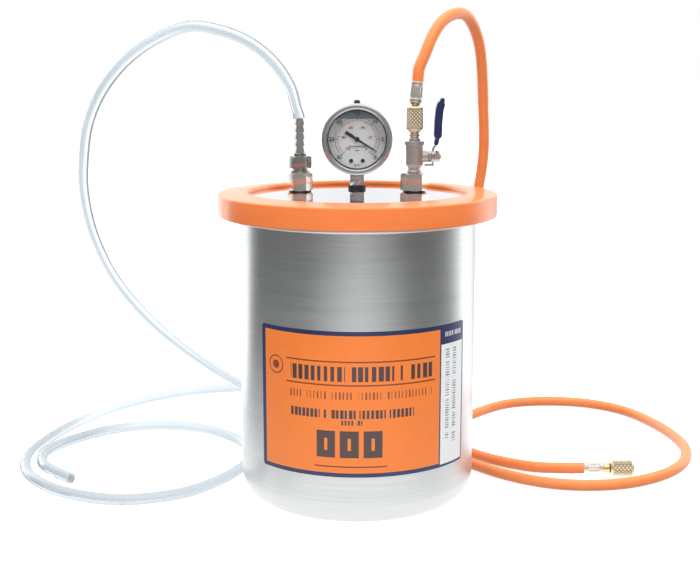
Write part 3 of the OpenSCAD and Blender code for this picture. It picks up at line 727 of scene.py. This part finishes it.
# Points along the hoses. Those with two numbers lie on the floor.
CHARGING_ROUTE = [
    near_exit, near_exit + 11 * MM * near_heading,
    *in_mm([
        (58, 31, 376), (64, 36, 390), (73, 45, 403), (86, 62, 410.5), (98, 80, 408.5),
        (108, 97, 394), (114, 109, 372), (118, 121, 330), (120, 129, 285), (115, 135, 245),
        (104, 141, 210), (91, 148, 175), (81, 156, 138), (71, 164, 98), (59, 173, 58),
        (39, 183, 25), (10, 191, 8), (-28, 192), (-56, 180), (-68, 152), (-56, 124), (-28, 112),
        (6, 112), (42, 106), (76, 84), (104, 51), (133, 19), (168, -3), (206, -9), (245, 0),
        (282, 26), (306, 62), (316, 107), (309, 164), (288, 219), (254, 251), (210, 261),
        (164, 250), (122, 209), (92, 162), (91, 110), (121, 67), (158, 41, 5.5), (190, 31.5, 7),
    ]),
    far_exit - Vector((6 * MM, 0, 0)), far_exit,
]
CLEAR_ROUTE = [
    barb_exit, barb_exit + Vector((0, 0, 14 * MM)), barb_exit + Vector((-0.5 * MM, 0, 30 * MM)),
    *in_mm([
        (-53, 29, 333), (-58, 33, 349), (-71, 41, 368), (-92, 52, 385), (-119, 64, 396),
        (-149, 76, 400), (-181, 87, 389), (-210, 99, 370), (-234, 110, 344), (-250, 120, 314),
        (-258, 130, 282), (-261, 138, 247), (-256, 150, 205), (-240, 164, 160), (-212, 180, 117),
        (-179, 195, 82), (-146, 211, 53), (-112, 226, 28), (-78, 238, 10), (-42, 243), (-11, 255),
        (2, 285), (-11, 315), (-42, 327), (-92, 324), (-150, 314), (-206, 291), (-255, 241),
        (-288, 176), (-306, 108), (-307, 58), (-290, 13), (-252, -26), (-200, -45), (-152, -30),
        (-122, 4), (-103, 46), (-100, 84), (-116, 121), (-146, 154), (-192, 171), (-240, 160),
        (-276, 125), (-294, 88), (-290, 52), (-271, 26), (-254, 9),
    ]),
]


def centreline(route, steps):
    """A smooth curve through a route's points, no lower than a hose that lies on the floor."""
    points = [Vector(p) if len(p) == 3 else Vector((*p, FLOOR_GAP)) for p in route]
    points = [2 * points[0] - points[1], *points, 2 * points[-1] - points[-2]]
    line = []
    for a, b, c, d in zip(points, points[1:], points[2:], points[3:]):
        for k in range(steps):
            s = k / steps
            square, cube = 2 * a - 5 * b + 4 * c - d, 3 * b - a - 3 * c + d
            at = 0.5 * (2 * b + (c - a) * s + square * s**2 + cube * s**3)
            line.append(Vector((at.x, at.y, max(at.z, FLOOR_GAP))))
    return [*line, points[-2]]


def headings(line):
    """The hose's direction at each point of its centreline."""
    last = len(line) - 1
    return [(line[min(i + 1, last)] - line[max(i - 1, 0)]).normalized() for i in range(last + 1)]


def untwisted(line):
    """A place and a distance run for each point of a centreline, turned along it without twist."""
    across = Vector((0, 1, 0))
    frames, run = [], 0.0
    for i, (point, ahead) in enumerate(zip(line, headings(line))):
        run += (point - line[i - 1]).length if i else 0.0
        across = (across - across.dot(ahead) * ahead).normalized()
        turn = Matrix((across, ahead.cross(across), ahead)).transposed().to_4x4()
        frames.append((Matrix.Translation(point) @ turn, run))
    return frames


def next_ring(bm, ring, edges):
    """A ring of a tube's wall grown from the last one, with its vertices in the same order."""
    grown = bmesh.ops.extrude_edge_only(bm, edges=edges)["geom"]
    new = {g for g in grown if isinstance(g, bmesh.types.BMVert)}
    edges = [g for g in grown if isinstance(g, bmesh.types.BMEdge) and new.issuperset(g.verts)]
    old = {v: k for k, v in enumerate(ring)}
    order = [None] * len(ring)
    for v in new:
        origin = next(e.other_vert(v) for e in v.link_edges if e.other_vert(v) in old)
        order[old[origin]] = v
    return order, edges


def hose(name, route, bore, slot, replaces, cut, swell=None, steps=7, sides=28):
    """A tube with a bore, swept along its route. swell(distance) says how far it is stretched, from 0
    to 1, and cut is the look of its two end faces."""
    line = centreline(route, steps)
    frames = untwisted(line)
    bm = bmesh.new()
    straight = bm.verts.layers.float_vector.new("straight")
    ends = []
    for wall in ("outer", "inner"):
        ring = bmesh.ops.create_circle(bm, segments=sides, radius=1, cap_ends=False)["verts"]
        flat = [v.co.copy() for v in ring]
        edges = [e for e in bm.edges if e.verts[0] in ring and e.verts[1] in ring]
        ends.append(edges)
        for i, (place, run) in enumerate(frames):
            if i:
                ring, edges = next_ring(bm, ring, edges)
            extra = swell(run) if swell else 0.0
            if wall == "outer":
                size = HOSE_R * (1 + SWELL_OUTSIDE * extra)
            else:
                size = bore * (1 + SWELL_INSIDE * extra)
            for v, unit in zip(ring, flat):
                v.co = place @ (unit * size)
                v[straight] = (unit.x * size, unit.y * size, run)
        ends.append(edges)
    for near, far in ((ends[0], ends[2]), (ends[1], ends[3])):
        for face in bmesh.ops.bridge_loops(bm, edges=near + far)["faces"]:
            face.material_index = 1
    if swell:
        for face in bm.faces:
            stretched = all(swell(v[straight].z) > 0.9 for v in face.verts)
            if stretched and face.material_index == 0:
                face.material_index = 2
    bmesh.ops.recalc_face_normals(bm, faces=bm.faces)
    made = piece(name, bm, None, slot, replaces, smooth=60)
    made.data.materials.append(cut)
    if swell:
        made.data.materials.append(STRETCHED_VINYL)
    return made, line, frames[-1][1]


def over_barb(distance):
    """1 while the tube is on the barb's ribs, easing to 0 past its end."""
    return min(1.0, max(0.0, (RIBS_END - distance) / EASING))


charging, charging_line, charging_run = hose(
    "charging_hose_orange", CHARGING_ROUTE, CHARGING_BORE, "orange_hose", ["charging_hose"],
    FINISHES["black_rubber"])
clear, clear_line, clear_run = hose(
    "clear_hose_vinyl", CLEAR_ROUTE, CLEAR_BORE, "clear_tube", ["clear_hose"], CUT_VINYL, over_barb)


def declare_hose(made):
    """Bakes the hose's transform into its mesh."""
    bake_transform(made)


# ---------------------------------------------------------------- finishes on the CAD parts that show
for part in frame["record"]["subparts"]:
    shown = frame["nodes"][part["node"]].data
    shown.materials.clear()
    shown.materials.append(FINISHES[part["material_slot"]])


# ---------------------------------------------------------------- pot, label, gasket
label_low, label_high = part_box("pot_label")
gasket_low, gasket_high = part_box("lid_gasket")
lid_low, lid_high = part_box("lid_plate")
GASKET_REACH = 20.5
LABEL_T = 0.3
LABEL_START = math.asin(label_low.x / -label_low.y)
LABEL_SWEEP = math.asin(label_high.x / -label_low.y) - LABEL_START
POT_R = -label_low.y / MM - LABEL_T
POT_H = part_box("pot_shell")[1].z / MM
WALL = 1.2
CORNER = 22.0
BEAD = 1.8
STEP_R = 57
STEP_H = 0.5
SEAM_LOW, SEAM_HIGH = 60, 150


def arc(r, z, radius, start, end, steps=12):
    """Points of a circle about (r, z), between two angles in degrees. 0 points outwards and 90 up."""
    turns = [math.radians(start + (end - start) * k / steps) for k in range(steps + 1)]
    return [(r + radius * math.cos(turn), z + radius * math.sin(turn)) for turn in turns]


def pot_body():
    """Spun pot: a shallow step under the bottom, a round corner, a straight wall and a rolled rim."""
    bead_r = POT_R - WALL + BEAD
    wall_meets_bead = -math.degrees(math.acos((POT_R - bead_r) / BEAD))
    outline = [(0, STEP_H), (STEP_R - 2, STEP_H), (STEP_R, 0)]
    outline += arc(POT_R - CORNER, CORNER, CORNER, -90, 0)
    outline += [(POT_R, SEAM_LOW), (POT_R, SEAM_HIGH)]
    outline += arc(bead_r, POT_H - BEAD, BEAD, wall_meets_bead, 180, 16)
    outline += [(POT_R - WALL, SEAM_HIGH), (POT_R - WALL, SEAM_LOW)]
    outline += arc(POT_R - CORNER, CORNER, CORNER - WALL, 0, -90) + [(0, WALL)]
    piece("pot_body", lathe(in_mm(outline), 192), "pot", "pot_steel", ["pot_shell"])


def label_sheet():
    """The label is a thin sheet wrapped round the pot, with rounded corners."""
    r, top = POT_R - 0.03, POT_R + LABEL_T
    low, high = label_low.z / MM, label_high.z / MM
    outline = in_mm([(r, low), (top, low), (top, high), (r, high)])
    bm = lathe(outline, 56, LABEL_SWEEP)
    radial = [e for e in bm.edges
              if abs(e.verts[0].co.xy.length - e.verts[1].co.xy.length) > LABEL_T * MM / 2]
    ends = [e for e in radial if len(e.link_faces) == 2 and e.calc_face_angle(0) > 1]
    roll_over(bm, ends, 2.5, 5)
    turn = Matrix.Rotation(LABEL_START - math.pi / 2, 4, "Z")
    piece("printed_label", bm, "pot", "label_vinyl", ["pot_label"], place=turn)


def gasket_ring():
    """Silicone channel: a rounded outer wall, a lip over the lid and a floor that sits on the rim."""
    z0, r1 = gasket_low.z / MM, gasket_high.x / MM
    lid_r, lid_z0, lid_z1 = lid_high.x / MM + 0.05, lid_low.z / MM, lid_high.z / MM
    lip_r = lid_high.x / MM - GASKET_REACH
    shoulder = lid_z1 + 2
    outline = rounded([
        (lip_r, z0, 0.8), (r1, z0, 2.4), (r1, shoulder, 1.7), (lip_r + 4, lid_z1 + 3.5, 1.5),
        (lip_r + 1.2, lid_z1 + 3.3, 1.0), (lip_r, lid_z1 + 1.2, 0.8), (lip_r + 0.2, lid_z1),
        (lid_r, lid_z1), (lid_r, lid_z0), (lip_r, lid_z0),
    ], 6)
    piece("gasket_ring", lathe(in_mm(outline), 192), "lid", "gasket_rubber", ["lid_gasket"])


pot_body()
label_sheet()
gasket_ring()


# ---------------------------------------------------------------- lid fittings
def hex_fittings():
    """The ports' couplings, locknuts and nipples, and the barb, with tumbled edges."""
    for node in ("hose_port_coupling", "valve_port_coupling"):
        eased(node, node + "_tumbled", 0.45, segments=3)
    for port in ("hose_port", "gauge_port", "valve_port"):
        eased(port + "_locknut", port + "_locknut_tumbled", 0.3)
    for port in ("hose_port", "valve_port"):
        eased(port + "_nipple", port + "_nipple_tumbled", 0.25)
    eased("hose_barb", "hose_barb_turned", 0.16, DARKER_NICKEL)


hex_fittings()


# ---------------------------------------------------------------- gauge
dial_low, dial_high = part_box("gauge_dial")
bezel_low, bezel_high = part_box("gauge_bezel")
GAUGE = centre_of("gauge_dial")
GAUGE.y = dial_high.y + 3 * MM
AT_GAUGE = Matrix.Translation(GAUGE) @ Matrix.Rotation(math.pi / 2, 4, "X")
BEZEL_R = bezel_high.x / MM - GAUGE.x / MM
BEZEL_FRONT = (GAUGE.y - bezel_low.y) / MM
BEZEL_BACK = (GAUGE.y - bezel_high.y) / MM
GLASS_FRONT = (GAUGE.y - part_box("gauge_window")[0].y) / MM
DIAL_TOP = (GAUGE.y - dial_low.y) / MM
CASE_R = BEZEL_R - 2.45
SIGHT_R = BEZEL_R - 5.4
PRINT_T = 0.05
LIQUID_T = 1.1
LIQUID_BACK = 7.4
SHADE_RING_T = 0.5


def gauge_shell():
    """The bezel, a black rubber ring inside the window that stands in for the dark reflection of the bezel's
    inner wall (painted shade), the case, the socket and the pointer.
    """
    outline = rounded([
        (CASE_R, BEZEL_BACK), (BEZEL_R, BEZEL_BACK, 0.8), (BEZEL_R, BEZEL_FRONT, 3.0),
        (SIGHT_R, BEZEL_FRONT, 2.0), (SIGHT_R, GLASS_FRONT), (CASE_R, GLASS_FRONT),
    ], 8)
    piece("gauge_bezel_polished", lathe(in_mm(outline), 160), "lid", "gauge_steel", ["gauge_bezel"],
          place=AT_GAUGE)
    # painted shade: a thin black rubber ring under the glass, like a window gasket, gives the dark line that
    # the bezel's inner wall reflects
    shade_ring = in_mm(flat_ring(SIGHT_R - 0.9, SIGHT_R + 0.8, GLASS_FRONT - 2.6, SHADE_RING_T))
    piece("gauge_painted_shade_ring", lathe(shade_ring, 160), "lid", "black_rubber", place=AT_GAUGE)
    eased("gauge_case", "gauge_case_drawn", 0.9, segments=4)
    eased("gauge_socket", "gauge_socket_milled", 0.3)
    eased("gauge_fill_plug", "gauge_fill_plug_moulded", 0.4, segments=3)
    eased("dial_screws", "dial_screws_turned", 0.12)
    eased("gauge_pointer", "gauge_pointer_stamped", 0.06)


def liquid():
    """The filling behind the glass: a clear sheet whose level leaves a small air space at the top."""
    bm = bmesh.new()
    bmesh.ops.create_circle(bm, cap_ends=True, segments=120, radius=(SIGHT_R + 0.8) * MM)
    bmesh.ops.bisect_plane(bm, geom=[*bm.verts, *bm.edges, *bm.faces], plane_co=(0, FILL_LINE, 0),
                           plane_no=(0, 1, 0), clear_outer=True)
    thick = bmesh.ops.extrude_face_region(bm, geom=list(bm.faces))["geom"]
    front = [g for g in thick if isinstance(g, bmesh.types.BMVert)]
    bmesh.ops.translate(bm, verts=front, vec=(0, 0, LIQUID_T * MM))
    bmesh.ops.translate(bm, verts=bm.verts, vec=(0, 0, LIQUID_BACK * MM))
    top = [e for e in bm.edges if all(abs(v.co.y - FILL_LINE) < 1e-6 for v in e.verts)]
    level = [e for e in top if abs(e.verts[0].co.x - e.verts[1].co.x) > MM]
    roll_over(bm, level, 0.3, 3)
    bmesh.ops.recalc_face_normals(bm, faces=bm.faces)
    piece("gauge_liquid", bm, "lid", "glass", place=AT_GAUGE, look=LIQUID)


def dial_place(angle, radius):
    """Where something printed stands on the dial, upright, at an angle from 3 o'clock."""
    at = Vector((math.cos(angle), math.sin(angle), 0)) * radius
    return Matrix.Translation((at.x, at.y, DIAL_TOP * MM))


def box_at(bm, place, size):
    """A small printed bar: its size is length, width and height."""
    bmesh.ops.create_cube(bm, size=1, matrix=place @ Matrix.Diagonal((*size, 1)))


def number_mesh(text, height):
    """Figures as a flat mesh, centred on the origin."""
    curve = bpy.data.curves.new("figures", "FONT")
    curve.body = text
    curve.size = height * 1.4
    curve.align_x = "CENTER"
    curve.align_y = "CENTER"
    curve.extrude = PRINT_T * MM / 2
    curve.offset = 0.09 * MM
    curve.resolution_u = 3
    return settled(add("figures", curve))


ON_DIAL = Matrix.Translation((0, 0, DIAL_TOP * MM))
SCALE_START = math.radians(225)
SCALE_SWEEP = math.radians(-270)


def dial_ring(bm, radius, width):
    """A thin printed arc along a scale."""
    line = in_mm(flat_ring(radius - width / 2, radius + width / 2, 0, PRINT_T))
    part = lathe(line, 90, -SCALE_SWEEP)
    part.transform(ON_DIAL @ Matrix.Rotation(SCALE_START + SCALE_SWEEP, 4, "Z"))
    pour(mesh_of(part, "scale_ring"), bm)


def dial_scale(name, numbers, radius, tall, tick_radius, tick, minor, slot, look):
    """A printed scale: an arc, fine ticks, longer ticks at the numbers, and the numbers."""
    bm = bmesh.new()
    count = (len(numbers) - 1) * minor
    for k in range(count + 1):
        angle = SCALE_START + SCALE_SWEEP * k / count
        long = k % minor == 0
        size = (tick * (1.0 if long else 0.62) * MM, (0.5 if long else 0.24) * MM, PRINT_T * MM)
        out = Matrix.Rotation(angle, 4, "Z")
        middle = tick_radius * MM - size[0] / 2
        box_at(bm, ON_DIAL @ out @ Matrix.Translation((middle, 0, 0)), size)
    for k, number in enumerate(numbers):
        angle = SCALE_START + SCALE_SWEEP * k / (len(numbers) - 1)
        figures = number_mesh(number, tall * MM)
        figures.transform(dial_place(angle, radius * MM))
        pour(figures, bm)
    dial_ring(bm, tick_radius, 0.22)
    piece(name, bm, "lid", slot, place=AT_GAUGE, look=look)


def dial_marks():
    """Plain bars under the hub and below the screws, in the two inks."""
    black = FINISHES["black_paint"]
    for name, y, wide, tall, look in (
        ("dial_mark_middle", -6.2, 15.0, 1.4, black), ("dial_mark_short", -9.6, 4.0, 1.2, black),
        ("dial_mark_lower", -22.4, 6.0, 1.2, RED_PRINT),
    ):
        bm = bmesh.new()
        bars = max(3, round(wide / 1.2))
        for k in range(bars):
            x = (k - (bars - 1) / 2) * wide / bars
            size = (wide / bars * 0.62 * MM, tall * (1.0 if k % 2 else 0.7) * MM, PRINT_T * MM)
            box_at(bm, Matrix.Translation((x * MM, y * MM, DIAL_TOP * MM)), size)
        piece(name, bm, "lid", "black_paint", place=AT_GAUGE, look=look)


gauge_shell()
liquid()
dial_scale("dial_scale_outer", ["30", "25", "20", "15", "10", "5", "0"], 22.3, 3.4, 19.6, 2.1, 10,
           "black_paint", FINISHES["black_paint"])
dial_scale("dial_scale_inner", ["100", "80", "60", "40", "20", "0"], 11.6, 2.2, 17.2, 2.1, 10,
           "black_paint", RED_PRINT)
dial_marks()


# ---------------------------------------------------------------- valve and lever
def cast(node, name, voxel, rounds, look=None):
    """A CAD node remeshed and softened, as a casting or a dipped skin is, with no hard edge left."""
    mesh = mesh_of(copy_of(node), name)
    made = add(name, mesh)
    grid = made.modifiers.new("grid", "REMESH")
    grid.mode = "VOXEL"
    grid.voxel_size = voxel * MM
    soft = made.modifiers.new("soft", "SMOOTH")
    soft.factor = 0.5
    soft.iterations = rounds
    final = settled(made)
    bpy.data.meshes.remove(mesh)
    bm = bmesh.new()
    pour(final, bm)
    piece(name, bm, body_of(node), slot_of(node), [node], look=look, smooth=80)


def valve_parts():
    """The ball valve outside, its lever and the flare adapter on it."""
    cast("valve_body", "valve_body_cast", 0.4, 4, CAST_NICKEL)
    eased("valve_end_cap", "valve_end_cap_cast", 0.35, CAST_NICKEL, 3)
    eased("valve_gland", "valve_gland_turned", 0.2, NICKEL_X)
    eased("valve_stem", "valve_stem_turned", 0.3, NICKEL_X, 3)
    eased("lever_nut", "lever_nut_turned", 0.3, NICKEL_X)
    eased("lever_plate", "lever_plate_pressed", 0.3)
    cast("lever_sleeve", "lever_sleeve_dipped", 0.45, 6)
    eased("flare_adapter", "flare_adapter_turned", 0.25)


valve_parts()


# ---------------------------------------------------------------- charging hose fittings
NUT_R = 7.5
NUT_LENGTH = 21.0
NUT_THREAD_R, NUT_THREAD_END = 5.55, 10
NUT_SEAT_R, NUT_SEAT_END = 6.3, 18
NUT_NECK_R = 4.4
KNURL_TURNS = 13
KNURL_DEPTH = 0.75
FERRULE_R = 5.8
FERRULE_LENGTH = 18.0
FERRULE_BORE = 3.85
CRIMPS = 8


def knurled_nut(name, node, place, look):
    """A swivel nut with a diamond knurl between two plain chamfered ends."""
    steps = 2 * KNURL_TURNS
    pitch = math.tau * NUT_R / steps
    first, last = 2.2, NUT_LENGTH - 2.2
    rows = round((last - first) / pitch / 2) * 2
    outline = rounded([(NUT_THREAD_R, 0), (NUT_R - 1.3, 0, 0.4), (NUT_R, 1.5, 0.4),
                       (NUT_R - 0.1, first - 0.1)])
    outline += [(NUT_R, first + (last - first) * k / rows) for k in range(rows + 1)]
    outline += rounded([(NUT_R - 0.1, last + 0.1), (NUT_R, NUT_LENGTH - 1.5, 0.4),
                        (NUT_R - 1.3, NUT_LENGTH, 0.4), (NUT_NECK_R, NUT_LENGTH)])
    outline += [(NUT_NECK_R, NUT_SEAT_END), (NUT_SEAT_R, NUT_SEAT_END),
                (NUT_SEAT_R, NUT_THREAD_END), (NUT_THREAD_R, NUT_THREAD_END)]
    bm = lathe(in_mm(outline), steps)
    valley = bm.verts.layers.float.new("valley")
    lowered = set()
    for vert in bm.verts:
        r, z = vert.co.xy.length / MM, vert.co.z / MM
        row = (z - first) / (last - first) * rows
        if r < NUT_R - 0.05 or row < -0.01 or row > rows + 0.01:
            continue
        turn = round(math.atan2(vert.co.y, vert.co.x) / math.tau * steps)
        if (turn + round(row)) % 2:
            vert.co.xy *= 1 - KNURL_DEPTH / NUT_R
            vert[valley] = 1.0
            lowered.add(vert)
    for face in list(bm.faces):
        low = [v for v in face.verts if v in lowered]
        opposite = len(low) == 2 and not any(lowered.issuperset(e.verts) for e in face.edges)
        if len(face.verts) == 4 and opposite:
            bmesh.utils.face_split(face, low[0], low[1])
    piece(name, bm, body_of(node), slot_of(node), [node], place=place, look=look, smooth=12)


def crimped_ferrule(name, node, place, look):
    """A ferrule squeezed in eight flutes between its two round collars."""
    length, r = FERRULE_LENGTH, FERRULE_R
    start, end = 4.0, length - 4.0
    rows = 10
    outline = [(FERRULE_BORE, 0)]
    outline += rounded([(r - 0.5, 0, 0.3), (r, 0.7, 0.3), (r, 3.0, 0.4), (r - 0.5, start, 0.3)])
    outline += [(r - 0.5, start + (end - start) * k / rows) for k in range(1, rows)]
    outline += rounded([(r - 0.5, end, 0.3), (r, end + 1.0, 0.4), (r, length - 0.7, 0.3),
                        (r - 0.6, length, 0.3)])
    outline += [(FERRULE_BORE, length)]
    bm = lathe(in_mm(outline), CRIMPS * 12)
    for vert in bm.verts:
        z = vert.co.z / MM
        if vert.co.xy.length < 4.5 * MM or not start < z < end:
            continue
        depth = min(1.0, (z - start) / 1.5, (end - z) / 1.5)
        flute = abs(math.cos(CRIMPS / 2 * math.atan2(vert.co.y, vert.co.x)))
        vert.co.xy *= 1 + depth * (0.3 - 0.75 * flute**3) / r
    piece(name, bm, body_of(node), slot_of(node), [node], place=place, look=look)


AT_NEAR = Matrix.Translation((valve.x, valve.y, NUT_Z))
AT_NEAR_INSERT = Matrix.Translation((valve.x, valve.y, NUT_Z + NUT_LEN)) @ Matrix.Rotation(LEAN, 4, "Y")
AT_FAR = Matrix.Translation((FAR_MOUTH, far_exit.y, far_exit.z)) @ Matrix.Rotation(-math.pi / 2, 4, "Y")
AT_FAR_INSERT = AT_FAR @ Matrix.Translation((0, 0, NUT_LEN))


def hose_fittings():
    """The two knurled nuts, the ferrules and the inserts that the hose is pushed on."""
    knurled_nut("near_nut_knurled", "near_nut", AT_NEAR, KNURLED)
    knurled_nut("far_nut_knurled", "far_nut", AT_FAR, KNURLED_X)
    crimped_ferrule("near_ferrule_crimped", "near_ferrule",
                    AT_NEAR_INSERT @ Matrix.Translation((0, 0, 3 * MM)), FINISHES["ferrule_brass"])
    crimped_ferrule("far_ferrule_crimped", "far_ferrule",
                    AT_FAR_INSERT @ Matrix.Translation((0, 0, 6.5 * MM)), FERRULE_X)
    eased("near_insert", "near_insert_turned", 0.2)
    eased("far_insert", "far_insert_turned", 0.2, BRASS_X)


hose_fittings()
declare_hose(charging)
declare_hose(clear)


# ---------------------------------------------------------------- floor and light
# How bright the room is at each heading, in degrees round the pot from the front
ROOM_LIGHT = [
    (-180, 0.95), (-166, 1.25), (-146, 1.9), (-128, 1.9), (-121, 0.48), (-108, 0.2), (-84, 0.2),
    (-60, 0.2), (-26, 0.2), (-8, 0.3), (8, 0.36), (26, 0.26), (50, 0.16), (76, 0.17), (94, 0.36),
    (107, 0.9), (117, 1.9), (132, 1.9), (146, 0.95), (158, 0.95), (170, 1.1), (180, 0.95),
]
ROOM_TINT = (0.97, 0.985, 1)
CEILING = (1.15, 1.15, 1.15, 1)
CEILING_START = 0.42
CEILING_EASING = 0.25
PAPER = (1.35, 1.355, 1.36, 1)
PAPER_THROUGH_TUBE = (1.06, 1.075, 1.08, 1)
BOUNCE = (0.42, 0.42, 0.42, 1)
PAPER_REACH = 0.62
PAPER_TONGUE = 0.62
TONGUE_HALF_ANGLE = 50
PAPER_EDGE = 0.5


def round_the_room(x, y):
    """What shiny metal finds at each heading from the pot: bright screens with dark gaps between them."""
    brightest = max(light for angle, light in ROOM_LIGHT)
    stops = [((angle + 180) / 360, (*(light / brightest * tint for tint in ROOM_TINT), 1))
             for angle, light in ROOM_LIGHT]
    walls = x.node("ShaderNodeValToRGB", {"stops": stops}, {0: heading(x, y) / 360 + 0.5})
    return walls.vector("MULTIPLY", walls, (brightest, brightest, brightest))


def floor():
    """White paper for the camera. To shiny metal it is bright near the pot and like the room further off,
    and through the clear tube it is a little less bright."""
    bm = bmesh.new()
    bmesh.ops.create_grid(bm, x_segments=1, y_segments=1, size=12)
    mesh = mesh_of(bm, "floor")

    def paint(at):
        cloud = noise(at, 3, detail=3)
        return {
            "Base Color": cloud.between((0.9, 0.9, 0.905, 1), (0.94, 0.94, 0.945, 1)),
            "Roughness": cloud * 0.1 + 0.6,
        }

    white = finish("white_floor", paint, Emission_Color=(1, 1, 1, 1), Emission_Strength=0.72,
                   Specular_IOR_Level=0.0)
    tree = white.node_tree
    at = Field(tree).node("ShaderNodeTexCoord", output=3)
    x, y, z = parts_of(at)
    away = at.math("SQRT", x * x + y * y)
    tongue = (1 - at.math("ABSOLUTE", heading(x, y)) / TONGUE_HALF_ANGLE).clamped()
    near = ((tongue * PAPER_TONGUE + PAPER_REACH - away) / PAPER_EDGE).clamped()
    through = at.node("ShaderNodeLightPath", output=6)
    paper = near.between(round_the_room(x, y), through.between(PAPER, PAPER_THROUGH_TUBE))
    bounced = at.node("ShaderNodeLightPath", output=2)
    glow = at.node("ShaderNodeEmission", inputs={"Color": bounced.between(paper, BOUNCE)})
    lit = Field(tree, tree.nodes["Principled BSDF"].outputs[0])
    seen = at.node("ShaderNodeLightPath")
    mixed = at.node("ShaderNodeMixShader", inputs={0: seen, 1: glow, 2: lit})
    tree.links.new(mixed.link, tree.nodes["Material Output"].inputs[0])
    mesh.materials.append(white)
    add("floor", mesh)


def studio():
    """White round the camera's view; for the metal, the room's screens and a soft box overhead."""
    world = bpy.data.worlds.new("studio")
    scene.world = world
    world.use_nodes = True
    tree = world.node_tree
    ahead = Field(tree).node("ShaderNodeTexCoord")
    x, y, z = parts_of(ahead)
    overhead = ((z - CEILING_START) / CEILING_EASING).clamped()
    room = overhead.between(round_the_room(x, y), CEILING)
    seen = ahead.node("ShaderNodeLightPath")
    colour = seen.between(room, (1, 1, 1, 1))
    tree.links.new(colour.link, tree.nodes["Background"].inputs[0])
    tree.nodes["Background"].inputs[1].default_value = 1.0


def lamp(name, place, target, size, power):
    """A soft square lamp that shiny metal doesn't mirror."""
    data = bpy.data.lights.new(name, "AREA")
    data.shape = "SQUARE"
    data.size = size
    data.energy = power
    made = add(name, data)
    made.location = place
    made.rotation_euler = (Vector(target) - Vector(place)).to_track_quat("-Z", "Y").to_euler()
    made.visible_glossy = False
    made.visible_transmission = False


def lights():
    """A large lamp overhead, two in front and one behind."""
    lamp("overhead", (0, -0.2, 2.2), (0, 0, 0.1), 2.0, 38)
    lamp("front_left", (-1.3, -1.9, 1.1), (0, 0, 0.2), 1.2, 18)
    lamp("front_right", (1.3, -1.9, 1.1), (0, 0, 0.2), 1.2, 18)
    lamp("back_fill", (0, 2.2, 1.2), (0, 0, 0.2), 1.6, 20)


floor()
studio()
lights()
